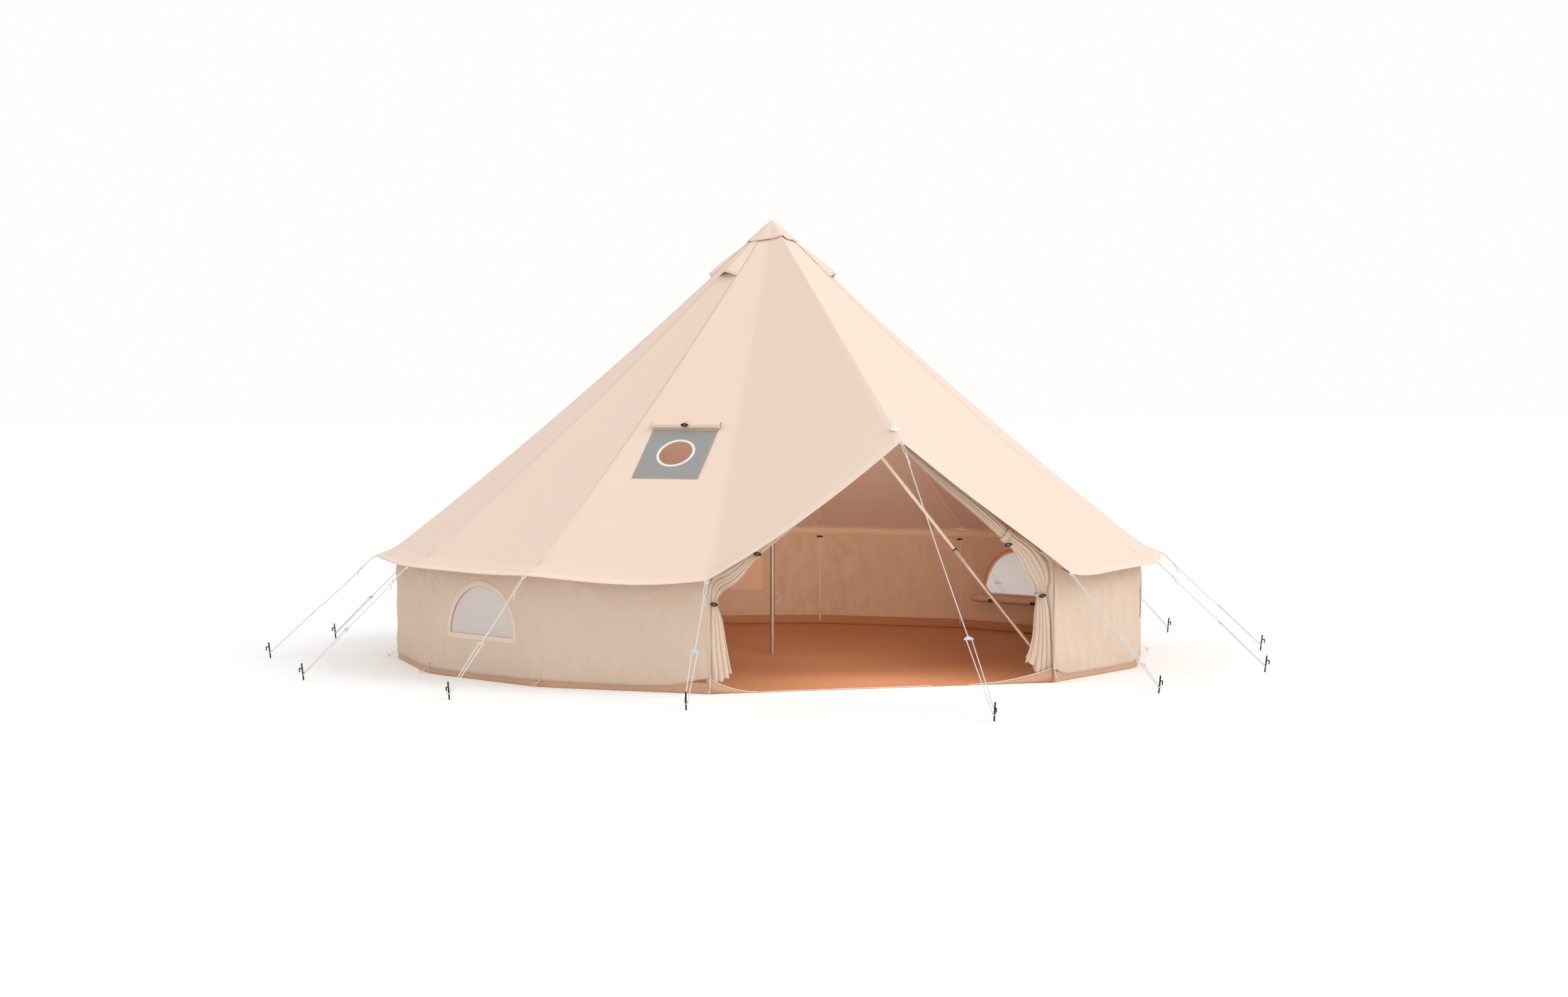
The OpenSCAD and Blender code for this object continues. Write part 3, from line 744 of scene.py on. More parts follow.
def new_material(name, rough, metal=0.0):
    """Material with a Principled shader; returns its tree, the shader's entries and the coordinates."""
    made = bpy.data.materials.new(name)
    made.use_nodes = True
    tree = made.node_tree
    shader = tree.nodes["Principled BSDF"].inputs
    shader["Roughness"].default_value = rough
    shader["Metallic"].default_value = metal
    return tree, shader, node(tree, "ShaderNodeTexCoord").outputs


def cloth_material(name, base, threads=620.0, crease=2.6, depth=0.004, hem=0.0, soil=0.0, spread=0.05,
                   painted_flank_light=0.0, painted_fold_shade=0.0):
    """Cotton canvas: weave, slubs and creases on the UV, cloudiness in space; optionally painted light and
    shade on crease flanks and painted shade in fold valleys.
    """
    tree, shader, at = new_material(name, 0.9)
    shader["Sheen Weight"].default_value = 0.08
    shader["Specular IOR Level"].default_value = 0.25
    weave = effect(tree, "Plain weave", at["UV"], Threads=threads)
    cloud = effect(tree, "Cloudy tone", at["Object"], Size=1.3)
    fold = effect(tree, "Cloth creases", at["UV"], Size=crease)
    tone = math_node(tree, "ADD", math_node(tree, "MULTIPLY", cloud["Slow"], 0.6),
                     math_node(tree, "MULTIPLY", weave["Slub"], 0.4))
    dye = mix(tree, tone, shade(base, 1 - spread), shade(base, 1 + spread))
    # Painted light and shade: crease flanks lighter on one side and darker on the other.
    if painted_flank_light:
        flank = mix(tree, fold["Flank light"], shade(base, 1 - painted_flank_light), shade(base, 1 + painted_flank_light))
        dye = mix(tree, ranged(tree, cloud["Slow"], 0.42, 0.62, 0.15, 0.9), dye, flank)
    # Painted shade: darker in the fold valleys that the fold attribute marks, and on the tucked upper part
    # of a curtain.
    if painted_fold_shade:
        wave = node(tree, "ShaderNodeAttribute", attribute_name="fold").outputs["Fac"]
        dye = mix(tree, ranged(tree, wave, -1.2, 0.5, painted_fold_shade, 0.0), dye, shade(base, 0.48))
    if hem:
        band = ranged(tree, parts_of(tree, at["UV"])[1], hem - 0.004, hem, 0.55, 0.0)
        dye = mix(tree, band, dye, shade(base, 1.09))
    if soil:
        low = ranged(tree, parts_of(tree, at["Object"])[2], 0.03, 0.2, soil, 0.0)
        dye = mix(tree, math_node(tree, "MULTIPLY", low, cloud["Fast"]), dye, shade(base, 0.62))
    feed(tree, shader["Base Color"], dye)
    feed(tree, shader["Roughness"], ranged(tree, weave["Slub"], start=0.84, end=0.96))
    bumped(tree, shader, (fold["Height"], 0.5, depth), (weave["Height"], 0.35, 0.0004))


def sheet_material(name, base):
    """Coated groundsheet: fine leather-like grain, soft gloss, dusty patches."""
    tree, shader, at = new_material(name, 0.5)
    cloud = effect(tree, "Cloudy tone", at["Object"], Size=1.1)
    fold = effect(tree, "Cloth creases", at["Object"], Size=1.5)
    feed(tree, shader["Base Color"], mix(tree, cloud["Slow"], shade(base, 0.9), shade(base, 1.08)))
    feed(tree, shader["Roughness"], ranged(tree, cloud["Fast"], start=0.48, end=0.72))
    cells = node(tree, "ShaderNodeTexVoronoi", {"Vector": at["Object"], "Scale": 420.0})
    bumped(tree, shader, (fold["Height"], 0.35, 0.003), (cells.outputs[0], 0.2, 0.0004))


def net_material(name, base):
    """Insect net: crossed threads with open holes between them."""
    tree, shader, at = new_material(name, 0.7)
    parts = parts_of(tree, scaled(tree, at["UV"], 330.0))
    across, down = [math_node(tree, "LESS_THAN", math_node(tree, "FRACT", parts[i]), 0.36) for i in (0, 1)]
    thread = math_node(tree, "MAXIMUM", across, down)
    cloud = effect(tree, "Cloudy tone", at["Object"], Size=5.0)
    feed(tree, shader["Alpha"], thread)
    feed(tree, shader["Base Color"], mix(tree, cloud["Fast"], shade(base, 0.92), shade(base, 1.12)))
    bumped(tree, shader, (thread, 0.3, 0.0005))


def rope_material(name, base):
    """Laid cord: slanting strands that wind round the rope's length, with painted shade in the grooves
    between them.
    """
    tree, shader, at = new_material(name, 0.75)
    parts = parts_of(tree, at["UV"])
    turn = math_node(tree, "ADD", math_node(tree, "MULTIPLY", parts[0], 3.0),
                     math_node(tree, "MULTIPLY", parts[1], 130.0))
    strand = math_node(tree, "SINE", math_node(tree, "MULTIPLY", turn, math.tau))
    level = math_node(tree, "MULTIPLY_ADD", strand, 0.5, 0.5)
    cloud = effect(tree, "Cloudy tone", at["Object"], Size=6.0)
    # Painted shade: darker in the grooves between strands.
    groove_shaded = mix(tree, level, shade(base, 0.82), shade(base, 1.02))
    dust = math_node(tree, "MULTIPLY", cloud["Fast"], 0.25)
    feed(tree, shader["Base Color"], mix(tree, dust, groove_shaded, shade(base, 0.8)))
    bumped(tree, shader, (level, 0.6, 0.0012))


def steel_material(name, base, metal, rough):
    """Zinc-coated tube: drawn streaks along its height and dull patches."""
    tree, shader, at = new_material(name, rough, metal)
    streak = grain(tree, stretched(tree, at["Object"], scale=(30.0, 30.0, 1.6)), 3.0, 4.0)
    cloud = effect(tree, "Cloudy tone", at["Object"], Size=4.0)
    feed(tree, shader["Base Color"], mix(tree, cloud["Slow"], shade(base, 0.9), shade(base, 1.06)))
    feed(tree, shader["Roughness"], ranged(tree, streak, start=rough, end=rough + 0.12))
    bumped(tree, shader, (streak, 0.03, 0.0003))


def solid_material(name, base, rough, wear=0.1):
    """Moulded or painted solid: fine orange-peel grain and slight scuffing."""
    tree, shader, at = new_material(name, rough)
    cloud = effect(tree, "Cloudy tone", at["Object"], Size=9.0)
    feed(tree, shader["Base Color"], mix(tree, cloud["Fast"], shade(base, 1 - wear), shade(base, 1 + wear)))
    feed(tree, shader["Roughness"], ranged(tree, cloud["Fast"], start=rough - 0.1, end=rough + 0.15))
    bumped(tree, shader, (grain(tree, at["Object"], 260.0, 2.0), 0.12, 0.0006))


def make_finishes():
    """Every finish of the tent, under the name that its pieces use."""
    c = bpy.context.scene.tent_colours
    weave_group()
    mottle_group()
    crease_group()
    tape = {"threads": 900.0, "crease": 8.0, "depth": 0.001}
    cloth_material("Roof canvas", c.roof, hem=bpy.context.scene.tent_sizes.hem, spread=0.025)
    # Painted warm light: the roof's inside face is a warmer, darker copy of the outside canvas colour.
    cloth_material("Roof lining", c.roof_in_painted_light)
    # Painted light and shade on the walls' crease flanks.
    cloth_material("Wall canvas", c.wall, crease=3.4, depth=0.02, soil=0.3, painted_flank_light=0.045)
    # Painted warm light on the walls' inside face; its crease flanks also get painted light and shade.
    cloth_material("Wall lining", c.wall_in_painted_light, crease=4.4, depth=0.014, spread=0.06, painted_flank_light=0.055)
    # Painted shade in the curtains' fold valleys and tucked upper parts.
    cloth_material("Curtain canvas", c.curtain, crease=6.0, depth=0.003, painted_fold_shade=0.6)
    cloth_material("Trim tape", c.trim, **tape)
    # Inside tape: a lighter copy of the warm inside wall colour, partly the tape's own lighter tone and
    # partly painted warm light. Inside trim: an orange copy of the floor colour, painted warm light, where
    # the trim outside is cream.
    cloth_material("Inside tape", shade(c.wall_in_painted_light, 1.16), **tape)
    cloth_material("Inside trim", shade(c.sheet, 1.15), **tape)
    cloth_material("Webbing", c.webbing, threads=420.0, crease=10.0, depth=0.001)
    cloth_material("Thread", c.roof, threads=2000.0, crease=20.0, depth=0.0004)
    cloth_material("Stove patch", c.patch, threads=520.0, crease=5.0, depth=0.002, spread=0.03)
    sheet_material("Groundsheet", c.sheet)
    # The outside upstand's colour is partly painted shade.
    sheet_material("Upstand", c.upstand)
    # Painted shade: the upstand's inside face is a darker copy of the floor colour.
    sheet_material("Inner upstand", shade(c.sheet, 0.86))
    net_material("Insect net", c.net)
    rope_material("Guy rope", c.rope)
    steel_material("Zinc steel", shade(c.steel, 1.1), 0.9, 0.3)
    steel_material("Brace steel", shade(c.trim, 1.3), 0.68, 0.24)
    solid_material("Slider plastic", c.slider, 0.4)
    solid_material("Dark plastic", c.dark, 0.42, 0.25)
    solid_material("Dark steel", c.dark, 0.5, 0.3)
    solid_material("White plastic", c.white, 0.4, 0.04)


def seen(tree):
    """1 for the rays that show a background to the camera, in gloss or through glass."""
    path = node(tree, "ShaderNodeLightPath").outputs
    gloss = math_node(tree, "MAXIMUM", path["Is Camera Ray"], path["Is Glossy Ray"])
    return math_node(tree, "MAXIMUM", gloss, path["Is Transmission Ray"])


def lamp(name, kind, power, toward, at=(0.0, 0.0, 0.0), **settings):
    """Soft lamp that shines along toward. Camera and gloss don't see one that stands near."""
    light = bpy.data.lights.new(name, kind)
    light.energy = power
    for key, value in settings.items():
        setattr(light, key, value)
    obj = bpy.data.objects.new(name, light)
    obj.location = at
    obj.rotation_euler = Vector(toward).to_track_quat("-Z", "Y").to_euler()
    if kind == "AREA":
        obj.visible_camera = False
        obj.visible_glossy = False
    bpy.context.scene.collection.objects.link(obj)


class TENT_OT_stage(bpy.types.Operator):
    """Pale floor, soft light and the camera."""

    bl_idname = "tent.stage"
    bl_label = "Stage"

    def execute(self, context):
        scene = context.scene
        scene.view_settings.view_transform = "Standard"
        self.floor(scene)
        world = bpy.data.worlds.new("Studio")
        scene.world = world
        world.use_nodes = True
        back = world.node_tree.nodes["Background"].inputs
        back["Color"].default_value = (1.0, 0.995, 0.985, 1.0)
        level = ranged(world.node_tree, seen(world.node_tree), start=0.84, end=1.0)
        feed(world.node_tree, back["Strength"], level)
        lamp("key_lamp", "SUN", 0.88, (-0.62, 0.45, -0.62), angle=math.radians(40))
        lamp("door_lamp", "SUN", 0.22, (0.05, 0.96, -0.2), angle=math.radians(30))
        lamp("doorway_lamp", "AREA", 20.0, (0.08, 1, 0.22), (0.1, -2.15, 0.68), shape="RECTANGLE",
             size=0.9, size_y=0.55, spread=math.radians(84))
        lamp("threshold_lamp", "AREA", 8.0, (0, 0.25, -1), (0.05, -2.05, 1.08), shape="RECTANGLE",
             size=1.1, size_y=0.35, spread=math.radians(150))
        camera = bpy.data.cameras.new("photo_camera")
        camera.lens = 67.71
        camera.sensor_width = 36.0
        camera.clip_end = 400.0
        eye = bpy.data.objects.new("photo_camera", camera)
        eye.location = (-6.024, -19.245, 1.918)
        eye.rotation_euler = (math.radians(87.588), 0.0, math.radians(-17.607))
        scene.collection.objects.link(eye)
        scene.camera = eye
        return {"FINISHED"}

    def floor(self, scene):
        """Pale floor that shows as white to the camera and keeps the tent's shadow."""
        tree, shader, _ = new_material("Studio floor", 0.9)
        shader["Base Color"].default_value = (0.86, 0.86, 0.855, 1.0)
        shader["Specular IOR Level"].default_value = 0.0
        shader["Emission Color"].default_value = (1.0, 1.0, 1.0, 1.0)
        feed(tree, shader["Emission Strength"], math_node(tree, "MULTIPLY", seen(tree), 0.17))
        far = 90.0
        mesh = bpy.data.meshes.new("studio_floor")
        corners = [(x, y, -0.0005) for x, y in ((-far, -far), (far, -far), (far, far), (-far, far))]
        mesh.from_pydata(corners, [], [(0, 1, 2, 3)])
        mesh.materials.append(bpy.data.materials["Studio floor"])
        ground = bpy.data.objects.new("studio_floor", mesh)
        scene.collection.objects.link(ground)


class TENT_OT_roof(bpy.types.Operator):
    """Roof and door canopy as one sewn sheet, with ridge seams and stitching."""

    bl_idname = "tent.roof"
    bl_label = "Roof"

    def execute(self, context):
        form = TentForm()
        s = form.s
        across = (0.0, 0.03, 0.09, 0.18, 0.285, 0.39, 0.5, 0.61, 0.715, 0.82, 0.91, 0.97, 1.0)
        slope = [0.9 * i / 66 for i in range(66)] + steps(0.9, 1.0, 22)
        columns = [(k, t) for k in range(SIDES) for t in across[:-1]]
        slope_long = (form.ridge(3, 1.0) - form.ridge(3, 0.0)).length

        def uv(i, j):
            k, t = columns[j] if j < len(columns) else (SIDES, 0.0)
            return (t - 0.5) * form.panel_width(3, slope[i]) + k, (1 - slope[i]) * slope_long

        def keep(i, j):
            """False where the roof is cut away behind the stove jack."""
            k, t = columns[j]
            t = (t + across[across.index(t) + 1]) / 2
            m = lerp(form.top_m, form.eave_m, (slope[i] + slope[i + 1]) / 2)
            along = abs(m - s.jack_at) / math.cos(form.jack_fall)
            return not (k == JACK_PANEL and 0.28 < t < 0.72 and along < s.jack_long / 2 - 0.055)

        rows = [[form.roof_at(k, t, u) for k, t in columns] for u in slope]
        roof = Patchwork().grid(rows, uv, closed=True, keep=keep)
        canvas = roof.cloth("roof_canvas", s.canvas, "Roof canvas", "Roof lining")
        place(canvas, "roof_canvas", *[f"roof_{i}" for i in range(1, 13)], "canopy_left", "canopy_right")
        tape = place(self.seams(form).piece("ridge_seams", "Roof canvas"), "roof_canvas")
        sewing = []
        for back in (0.012, s.hem - 0.008, s.hem - 0.016):
            line = [form.roof_at(k, t, 1 - back / slope_long, 0.0004) for k, t in columns]
            sewing.append(line + line[:1])
        thread = place(stitches("roof_stitches", sewing, s.stitch * 1.25), "roof_canvas")
        round_hem = SIDES * form.panel_width(3, 1.0) + 1.2
        return {"FINISHED"}

    def seams(self, form):
        """Narrow lapped seams down the ridges."""
        half, low, crest = 0.008, 0.00005, 0.0004
        shares = [0.06 + 0.935 * i / 70 for i in range(71)]
        seams = Patchwork()
        for k in range(SIDES):
            strip = []
            for u in shares:
                strip.append([form.roof_at(k - 1, 1 - half / form.panel_width(k - 1, u), u, low),
                              form.roof_at(k, 0.0, u, crest),
                              form.roof_at(k, half / form.panel_width(k, u), u, low)])
            seams.grid(strip, lambda i, j: (half * j, 2.0 + 3.5 * shares[i]))
        return seams


class TENT_OT_peak(bpy.types.Operator):
    """Peak cap and the four vent hoods."""

    bl_idname = "tent.peak"
    bl_label = "Peak cap and vent hoods"

    def execute(self, context):
        form = TentForm()
        s = form.s
        shares = [0.0, 0.12, 0.3, 0.5, 0.7, 0.85, 0.95, 1.0]
        columns = [(k, t) for k in range(SIDES) for t in (0.0, 0.12, 0.3, 0.5, 0.7, 0.88)]
        longer = {13: 0.92, 0: 1.3, 1: 0.92}

        def spot(share, k, t):
            """Point of the cap, which reaches further down over the door's ridge."""
            reach = s.cap * lerp(longer.get(k, 1.0), longer.get((k + 1) % SIDES, 1.0), t)
            r = max(reach * (1 + 0.015 * ripple((k + t) * 2, 0, 4)) * share, 0.004)
            u = form.down_slope(r)
            if u > 0:
                return form.roof_at(k, t, u, 0.004 + 0.006 * share * (1 + ripple((k + t) * 3, share, 6)))
            return aim(k + t) * r + UP * (form.top_z + 0.005 + 0.014 * (1 - r / form.top_r))

        rows = [[spot(share, k, t) for k, t in columns] for share in shares]
        cap = Patchwork().grid(rows, lambda i, j: (0.02 * j, 1.0 - 0.3 * shares[i]), closed=True)
        cap.fan(UP * (rows[0][0].z + 0.003), len(columns), lambda j, right: [(0.0, 1.0)] * 3)
        cover = cap.cloth("peak_cap_canvas", 0.0016, "Roof canvas", "Roof lining")
        place(cover, "roof_canvas", "peak_cap")
        piping = Patchwork()
        piping.tube(rows[-1] + rows[-1][:1], 0.0024, 6, False)
        sewing = [[p + UP * 0.0012 for p in rows[-2] + rows[-2][:1]]]
        for k in WINDOW_PANELS:
            self.hood(form, k, piping, sewing)
        place(piping.piece("peak_piping", "Trim tape"), "trim")
        place(stitches("peak_stitches", sewing, s.stitch), "roof_canvas")
        return {"FINISHED"}

    def hood(self, form, k, piping, sewing):
        """One inverted-V hood from under the cap to its open mouth."""
        s = form.s

        def spot(share, t):
            u = form.down_slope(lerp(s.cap * 0.8, s.cap + s.hood_long, share))
            crest = 1 - abs(2 * t - 1) ** 1.25
            lift = 0.0035 + s.hood_lift * ease(share ** 0.8) * crest + 0.002 * ripple(t * 4, share * 5, k)
            return form.roof_at(k, lerp(0.03, 0.97, t), u, lift)

        rows = sweep(14, 16, spot)
        hood = Patchwork().grid(rows, lambda i, j: (0.25 * j / 16, 1.0 - 0.32 * i / 14))
        piping.tube(rows[-1], 0.0022, 6)
        sewing.append([p + UP * 0.0012 for p in rows[-3]])
        made = hood.cloth(f"vent_hood_{k}", 0.0018, "Roof canvas", "Roof lining")
        place(made, "roof_canvas", "vent_hoods")


class TENT_OT_walls(bpy.types.Operator):
    """Wall canvas round the tent, with its hem and window cuts."""

    bl_idname = "tent.walls"
    bl_label = "Walls"

    def execute(self, context):
        form = TentForm()
        s = form.s
        down, grow, snap = 36, 0.012, 0.016
        columns = round_wall(44, 54)
        w, h = s.window_half + grow, s.window_high + grow
        cut = form.window_outline(grow, 60)

        def uv(i, j):
            return sum(columns[j]) * form.panel, (1 - i / down) * (s.wall_top - s.wall_low)

        def high(i, j):
            return lerp(s.wall_top, form.wall_hem(*columns[j]), i / down)

        def spot(i, j):
            """Place on its panel: across from the middle, and height."""
            return Vector(((columns[j][1] - 0.5) * form.panel, high(i, j)))

        def depth(p):
            """How deep a panel point lies inside a window's cut, below 0 outside."""
            rise = p.y - s.window_sill
            return (1 - math.hypot(p.x / w, rise / h)) * h if rise > 0 else min(w - abs(p.x), rise + grow)

        def keep(i, j):
            half_column = Vector((form.panel / 108, 0))
            middle = (spot(i, j) + spot(i + 1, j)) / 2 + half_column
            return not (columns[j][0] in WINDOW_PANELS and depth(middle) > 0)

        def point(i, j):
            """Point of the canvas, drawn to the cut where it is near a window's edge."""
            k, t = columns[j]
            p = spot(i, j)
            if k in WINDOW_PANELS and abs(depth(p)) < snap:
                return form.on_panel(k, *min(cut, key=lambda c: (c - p).length_squared))
            return form.wall_at(k, t, high(i, j))

        rows = [[point(i, j) for j in range(len(columns))] for i in range(down + 1)]
        wall = Patchwork().grid(rows, uv, keep=keep)
        canvas = wall.cloth("wall_canvas", s.canvas, "Wall canvas", "Wall lining")
        place(canvas, "wall_canvas", *[f"wall_{i}" for i in range(1, 13)])
        sewing = [[form.wall_at(k, t, form.wall_hem(k, t) + lift, 0.0007) for k, t in columns]
                  for lift in (0.014, 0.028)]
        thread = place(stitches("wall_stitches", sewing, s.stitch), "wall_canvas")
        return {"FINISHED"}


def toggle_part():
    """Flat oval toggle with a slot in its middle, its length on X and its face on Z."""
    half = bpy.context.scene.tent_sizes.toggle / 2
    rows = []
    for a in [math.tau * j / 12 for j in range(12)]:
        wide, high = RIGHT * half * (0.66 + 0.34 * math.cos(a)), BACK * half * (0.3 + 0.17 * math.cos(a))
        rows.append(circle(UP * half * 0.15 * math.sin(a), wide, high, 28))
    part = Patchwork().grid(rows + rows[:1], lambda i, j: (0.003 * j, 0.003 * i), closed=True)
    return welded(part.piece("toggle_part", "Dark plastic"))


class TENT_OT_windows(bpy.types.Operator):
    """Window trims, insect nets and rolled inner covers with their ties."""

    bl_idname = "tent.windows"
    bl_label = "Windows"
    tie_places = (-0.21, 0.21)

    def execute(self, context):
        form = TentForm()
        s = form.s
        outer, inner, sewing, ties, spots = Patchwork(), Patchwork(), [], Patchwork(), []
        section = [(0.0, -0.0012), (0.0, 0.0022), (0.003, 0.003), (s.trim / 2, 0.0032),
                   (s.trim - 0.003, 0.003), (s.trim, 0.0018), (s.trim, 0.0002)]
        lining = [(grow, -s.canvas - lift) for grow, lift in section]

        def round_window(k, grow, lift):
            return [form.on_panel(k, *p, lift) for p in form.window_outline(grow)]

        for k in WINDOW_PANELS:
            for work, shape in ((outer, section), (inner, lining)):
                rows = [round_window(k, *step) for step in shape]
                work.grid(rows, lambda i, j: (0.011 * j, 0.006 * i), closed=True, flip=work is inner)
            for grow in (0.005, s.trim - 0.005):
                line = round_window(k, grow, 0.0034)
                sewing.append(line + line[:1])
            self.net(form, k)
            self.cover(form, k)
            out, along, reach = aim(k + 0.5), tangent(k + 0.5), s.cover + 0.0012
            for x in self.tie_places:
                centre = self.seat(form, k, 0.0006) + along * x
                ring = circle(centre, out * reach, UP * reach, 28, 1)
                ties.band(ring, [p - centre for p in ring], 0.018, 0.0014)
                spots.append((centre - out * (s.cover + 0.009) - UP * 0.008, turn_of(along, -out)))
        place(outer.piece("window_trim", "Trim tape"), "trim", "window_trims")
        place(inner.piece("window_trim_inside", "Inside trim"), "trim", "window_trims")
        place(stitches("window_stitches", sewing, s.stitch), "trim")
        place(ties.piece("window_cover_ties", "Inside tape"), "webbing")
        place(copies("window_cover_toggles", toggle_part(), spots, "Dark plastic"), "peg")
        return {"FINISHED"}

    def seat(self, form, k, gap):
        """Middle of a rolled cover that hangs inside, a gap off the wall's lining."""
        s = form.s
        return (aim(k + 0.5) * (s.half_width - s.canvas - gap - s.cover)
                + UP * (s.window_sill - 0.016 - s.cover))

    def net(self, form, k):
        """Insect net behind one window."""
        s = form.s
        lap = 0.014
        w, h = s.window_half + lap, s.window_high + lap
        low, top = s.window_sill - lap, s.window_sill + h

        def spot(down, across):
            z = lerp(top, low, down)
            rise = max(z - s.window_sill, 0.0) / h
            half = max(w * math.sqrt(max(1 - rise * rise, 0.0)), 0.004)
            x = lerp(-half, half, across)
            belly = 0.005 * (1 - (x / w) ** 2) * math.sin(math.pi * down)
            return form.plan_at(k, x / form.panel + 0.5, s.half_width - s.canvas - 0.0032 - belly) + UP * z

        net = Patchwork().grid(sweep(28, 24, spot),
                               lambda i, j: (lerp(-w, w, j / 24), lerp(top, low, i / 28)))
        made = place(net.cloth(f"window_net_{k}", 0.0006, "Insect net"), "mesh", "window_meshes")

    def cover(self, form, k):
        """Inner cover rolled up below one window's sill."""
        s = form.s
        turns = 2.6
        long = math.tau * turns * s.cover * 0.75
        seat = self.seat(form, k, 0.0008)

        def spot(along, share):
            x = lerp(-s.cover_half, s.cover_half, along)
            pinch = 1 - 0.07 * sum(bell(x - tie, 0.02) for tie in self.tie_places)
            turn = math.tau * turns * share
            r = s.cover * pinch * (0.5 + 0.5 * share) * (1 + 0.02 * ripple(x * 6, share * 9, k))
            spoke = aim(k + 0.5) * math.cos(turn) + UP * math.sin(turn)
            return seat + spoke * r + tangent(k + 0.5) * (x * (1 - 0.012 * (1 - share)))

        roll = Patchwork().grid(sweep(40, 56, spot), lambda i, j: (2 * s.cover_half * i / 40, long * j / 56))
        made = place(roll.cloth(f"window_cover_{k}", 0.0014, "Wall lining"), "wall_canvas", "window_covers")


class TENT_OT_stove_jack(bpy.types.Operator):
    """Stove jack's patch and ring, and its rolled-up flap."""

    bl_idname = "tent.stove_jack"
    bl_label = "Stove jack"

    def execute(self, context):
        form = TentForm()
        s = form.s
        k = JACK_PANEL
        half_w, top, low = s.jack_wide / 2, s.jack_long / 2, s.jack_long / 2 + 0.02
        across, up, _ = form.slope_axes(k)

        def flat(i, j):
            """Place on the patch: ring i from the flue to the edge, at the turn j."""
            c, d = math.cos(math.tau * j / 96), math.sin(math.tau * j / 96)
            r = lerp(s.flue, 1 / max(abs(c) / half_w, d / top, -d / low), i / 8)
            return r * c, r * d

        def round_flue(out, lift, count, extra=0):
            reach = s.flue + out
            return circle(form.on_slope(k, 0, 0, lift), across * reach, up * reach, count, extra)

        lifts = [0.0028 + 0.0006 * math.sin(math.pi * i / 8) for i in range(8)] + [0.0022]
        rows = [[form.on_slope(k, *flat(i, j), lift) for j in range(96)] for i, lift in enumerate(lifts)]
        patch = Patchwork().grid(rows, flat, closed=True)
        made = place(patch.cloth("stove_patch", 0.0022, "Stove patch"), "stove_patch", "stove_jack")
        section = ((0.0, 0.0), (-0.0015, 0.003), (0.001, 0.0055), (0.0085, 0.0064), (0.0155, 0.0055),
                   (0.017, 0.003))
        rows = [round_flue(out, lift, 72) for out, lift in section]
        ring = Patchwork().grid(rows, lambda i, j: (0.01 * j, 0.004 * i), closed=True)
        place(ring.piece("flue_ring", "White plastic"), "white_plastic")
        corners = [Vector((x, y)) for x, y in ((-1, -low), (1, -low), (1, top), (-1, top), (-1, -low))]
        edging = Patchwork()
        for p, q in zip(corners, corners[1:]):
            edging.tube([form.on_slope(k, v.x * half_w, v.y, 0.002) for v in steps(p, q, 8)], 0.002, 6)
        place(edging.piece("stove_patch_edging", "Trim tape"), "trim")
        sewing = [[form.on_slope(k, p.x * (half_w - inset), p.y - math.copysign(inset, p.y), 0.0034)
                   for p in corners] for inset in (0.008, 0.016)]
        sewing.append(round_flue(0.026, 0.0042, 64, 1))
        place(stitches("stove_stitches", sewing, 0.009), "stove_patch")
        self.flap(form, k)
        return {"FINISHED"}

    def flap(self, form, k):
        """Flap rolled up above the patch, tied in its middle."""
        s = form.s
        across, up, off = form.slope_axes(k)
        seat = form.on_slope(k, 0, s.jack_long / 2 + s.roll, s.roll + 0.002)
        turns = 2.4
        long = math.tau * turns * s.roll * 0.63

        def spot(along, share):
            x = lerp(-s.roll_half, s.roll_half, along)
            turn = math.tau * turns * share + math.pi * 0.6
            r = s.roll * (1 - 0.12 * bell(x, 0.018)) * (0.28 + 0.7 * share)
            r *= 1 + 0.03 * ripple(x * 8, share * 8, 11)
            spoke = up * math.cos(turn) + off * math.sin(turn)
            return seat + across * x * (0.98 + 0.02 * share) + spoke * r

        roll = Patchwork().grid(sweep(36, 52, spot),
                                lambda i, j: (2 * s.roll_half * i / 36, 0.4 + long * j / 52))
        made = roll.cloth("stove_flap", 0.0014, "Roof lining", "Roof canvas")
        place(made, "roof_canvas", "stove_roll")
        reach = s.roll * 0.93
        ring = circle(seat, up * reach, off * reach, 24, 1)
        tie = Patchwork()
        tie.band(ring, [p - seat for p in ring], 0.02, 0.0015)
        place(tie.piece("stove_flap_tie", "Webbing"), "webbing")
        face = (off * 0.66 - up * 0.75).normalized()
        spots = [(seat + face * (s.roll + 0.006), turn_of(across, face))]
        place(copies("stove_flap_toggle", toggle_part(), spots, "Dark plastic"), "peg")


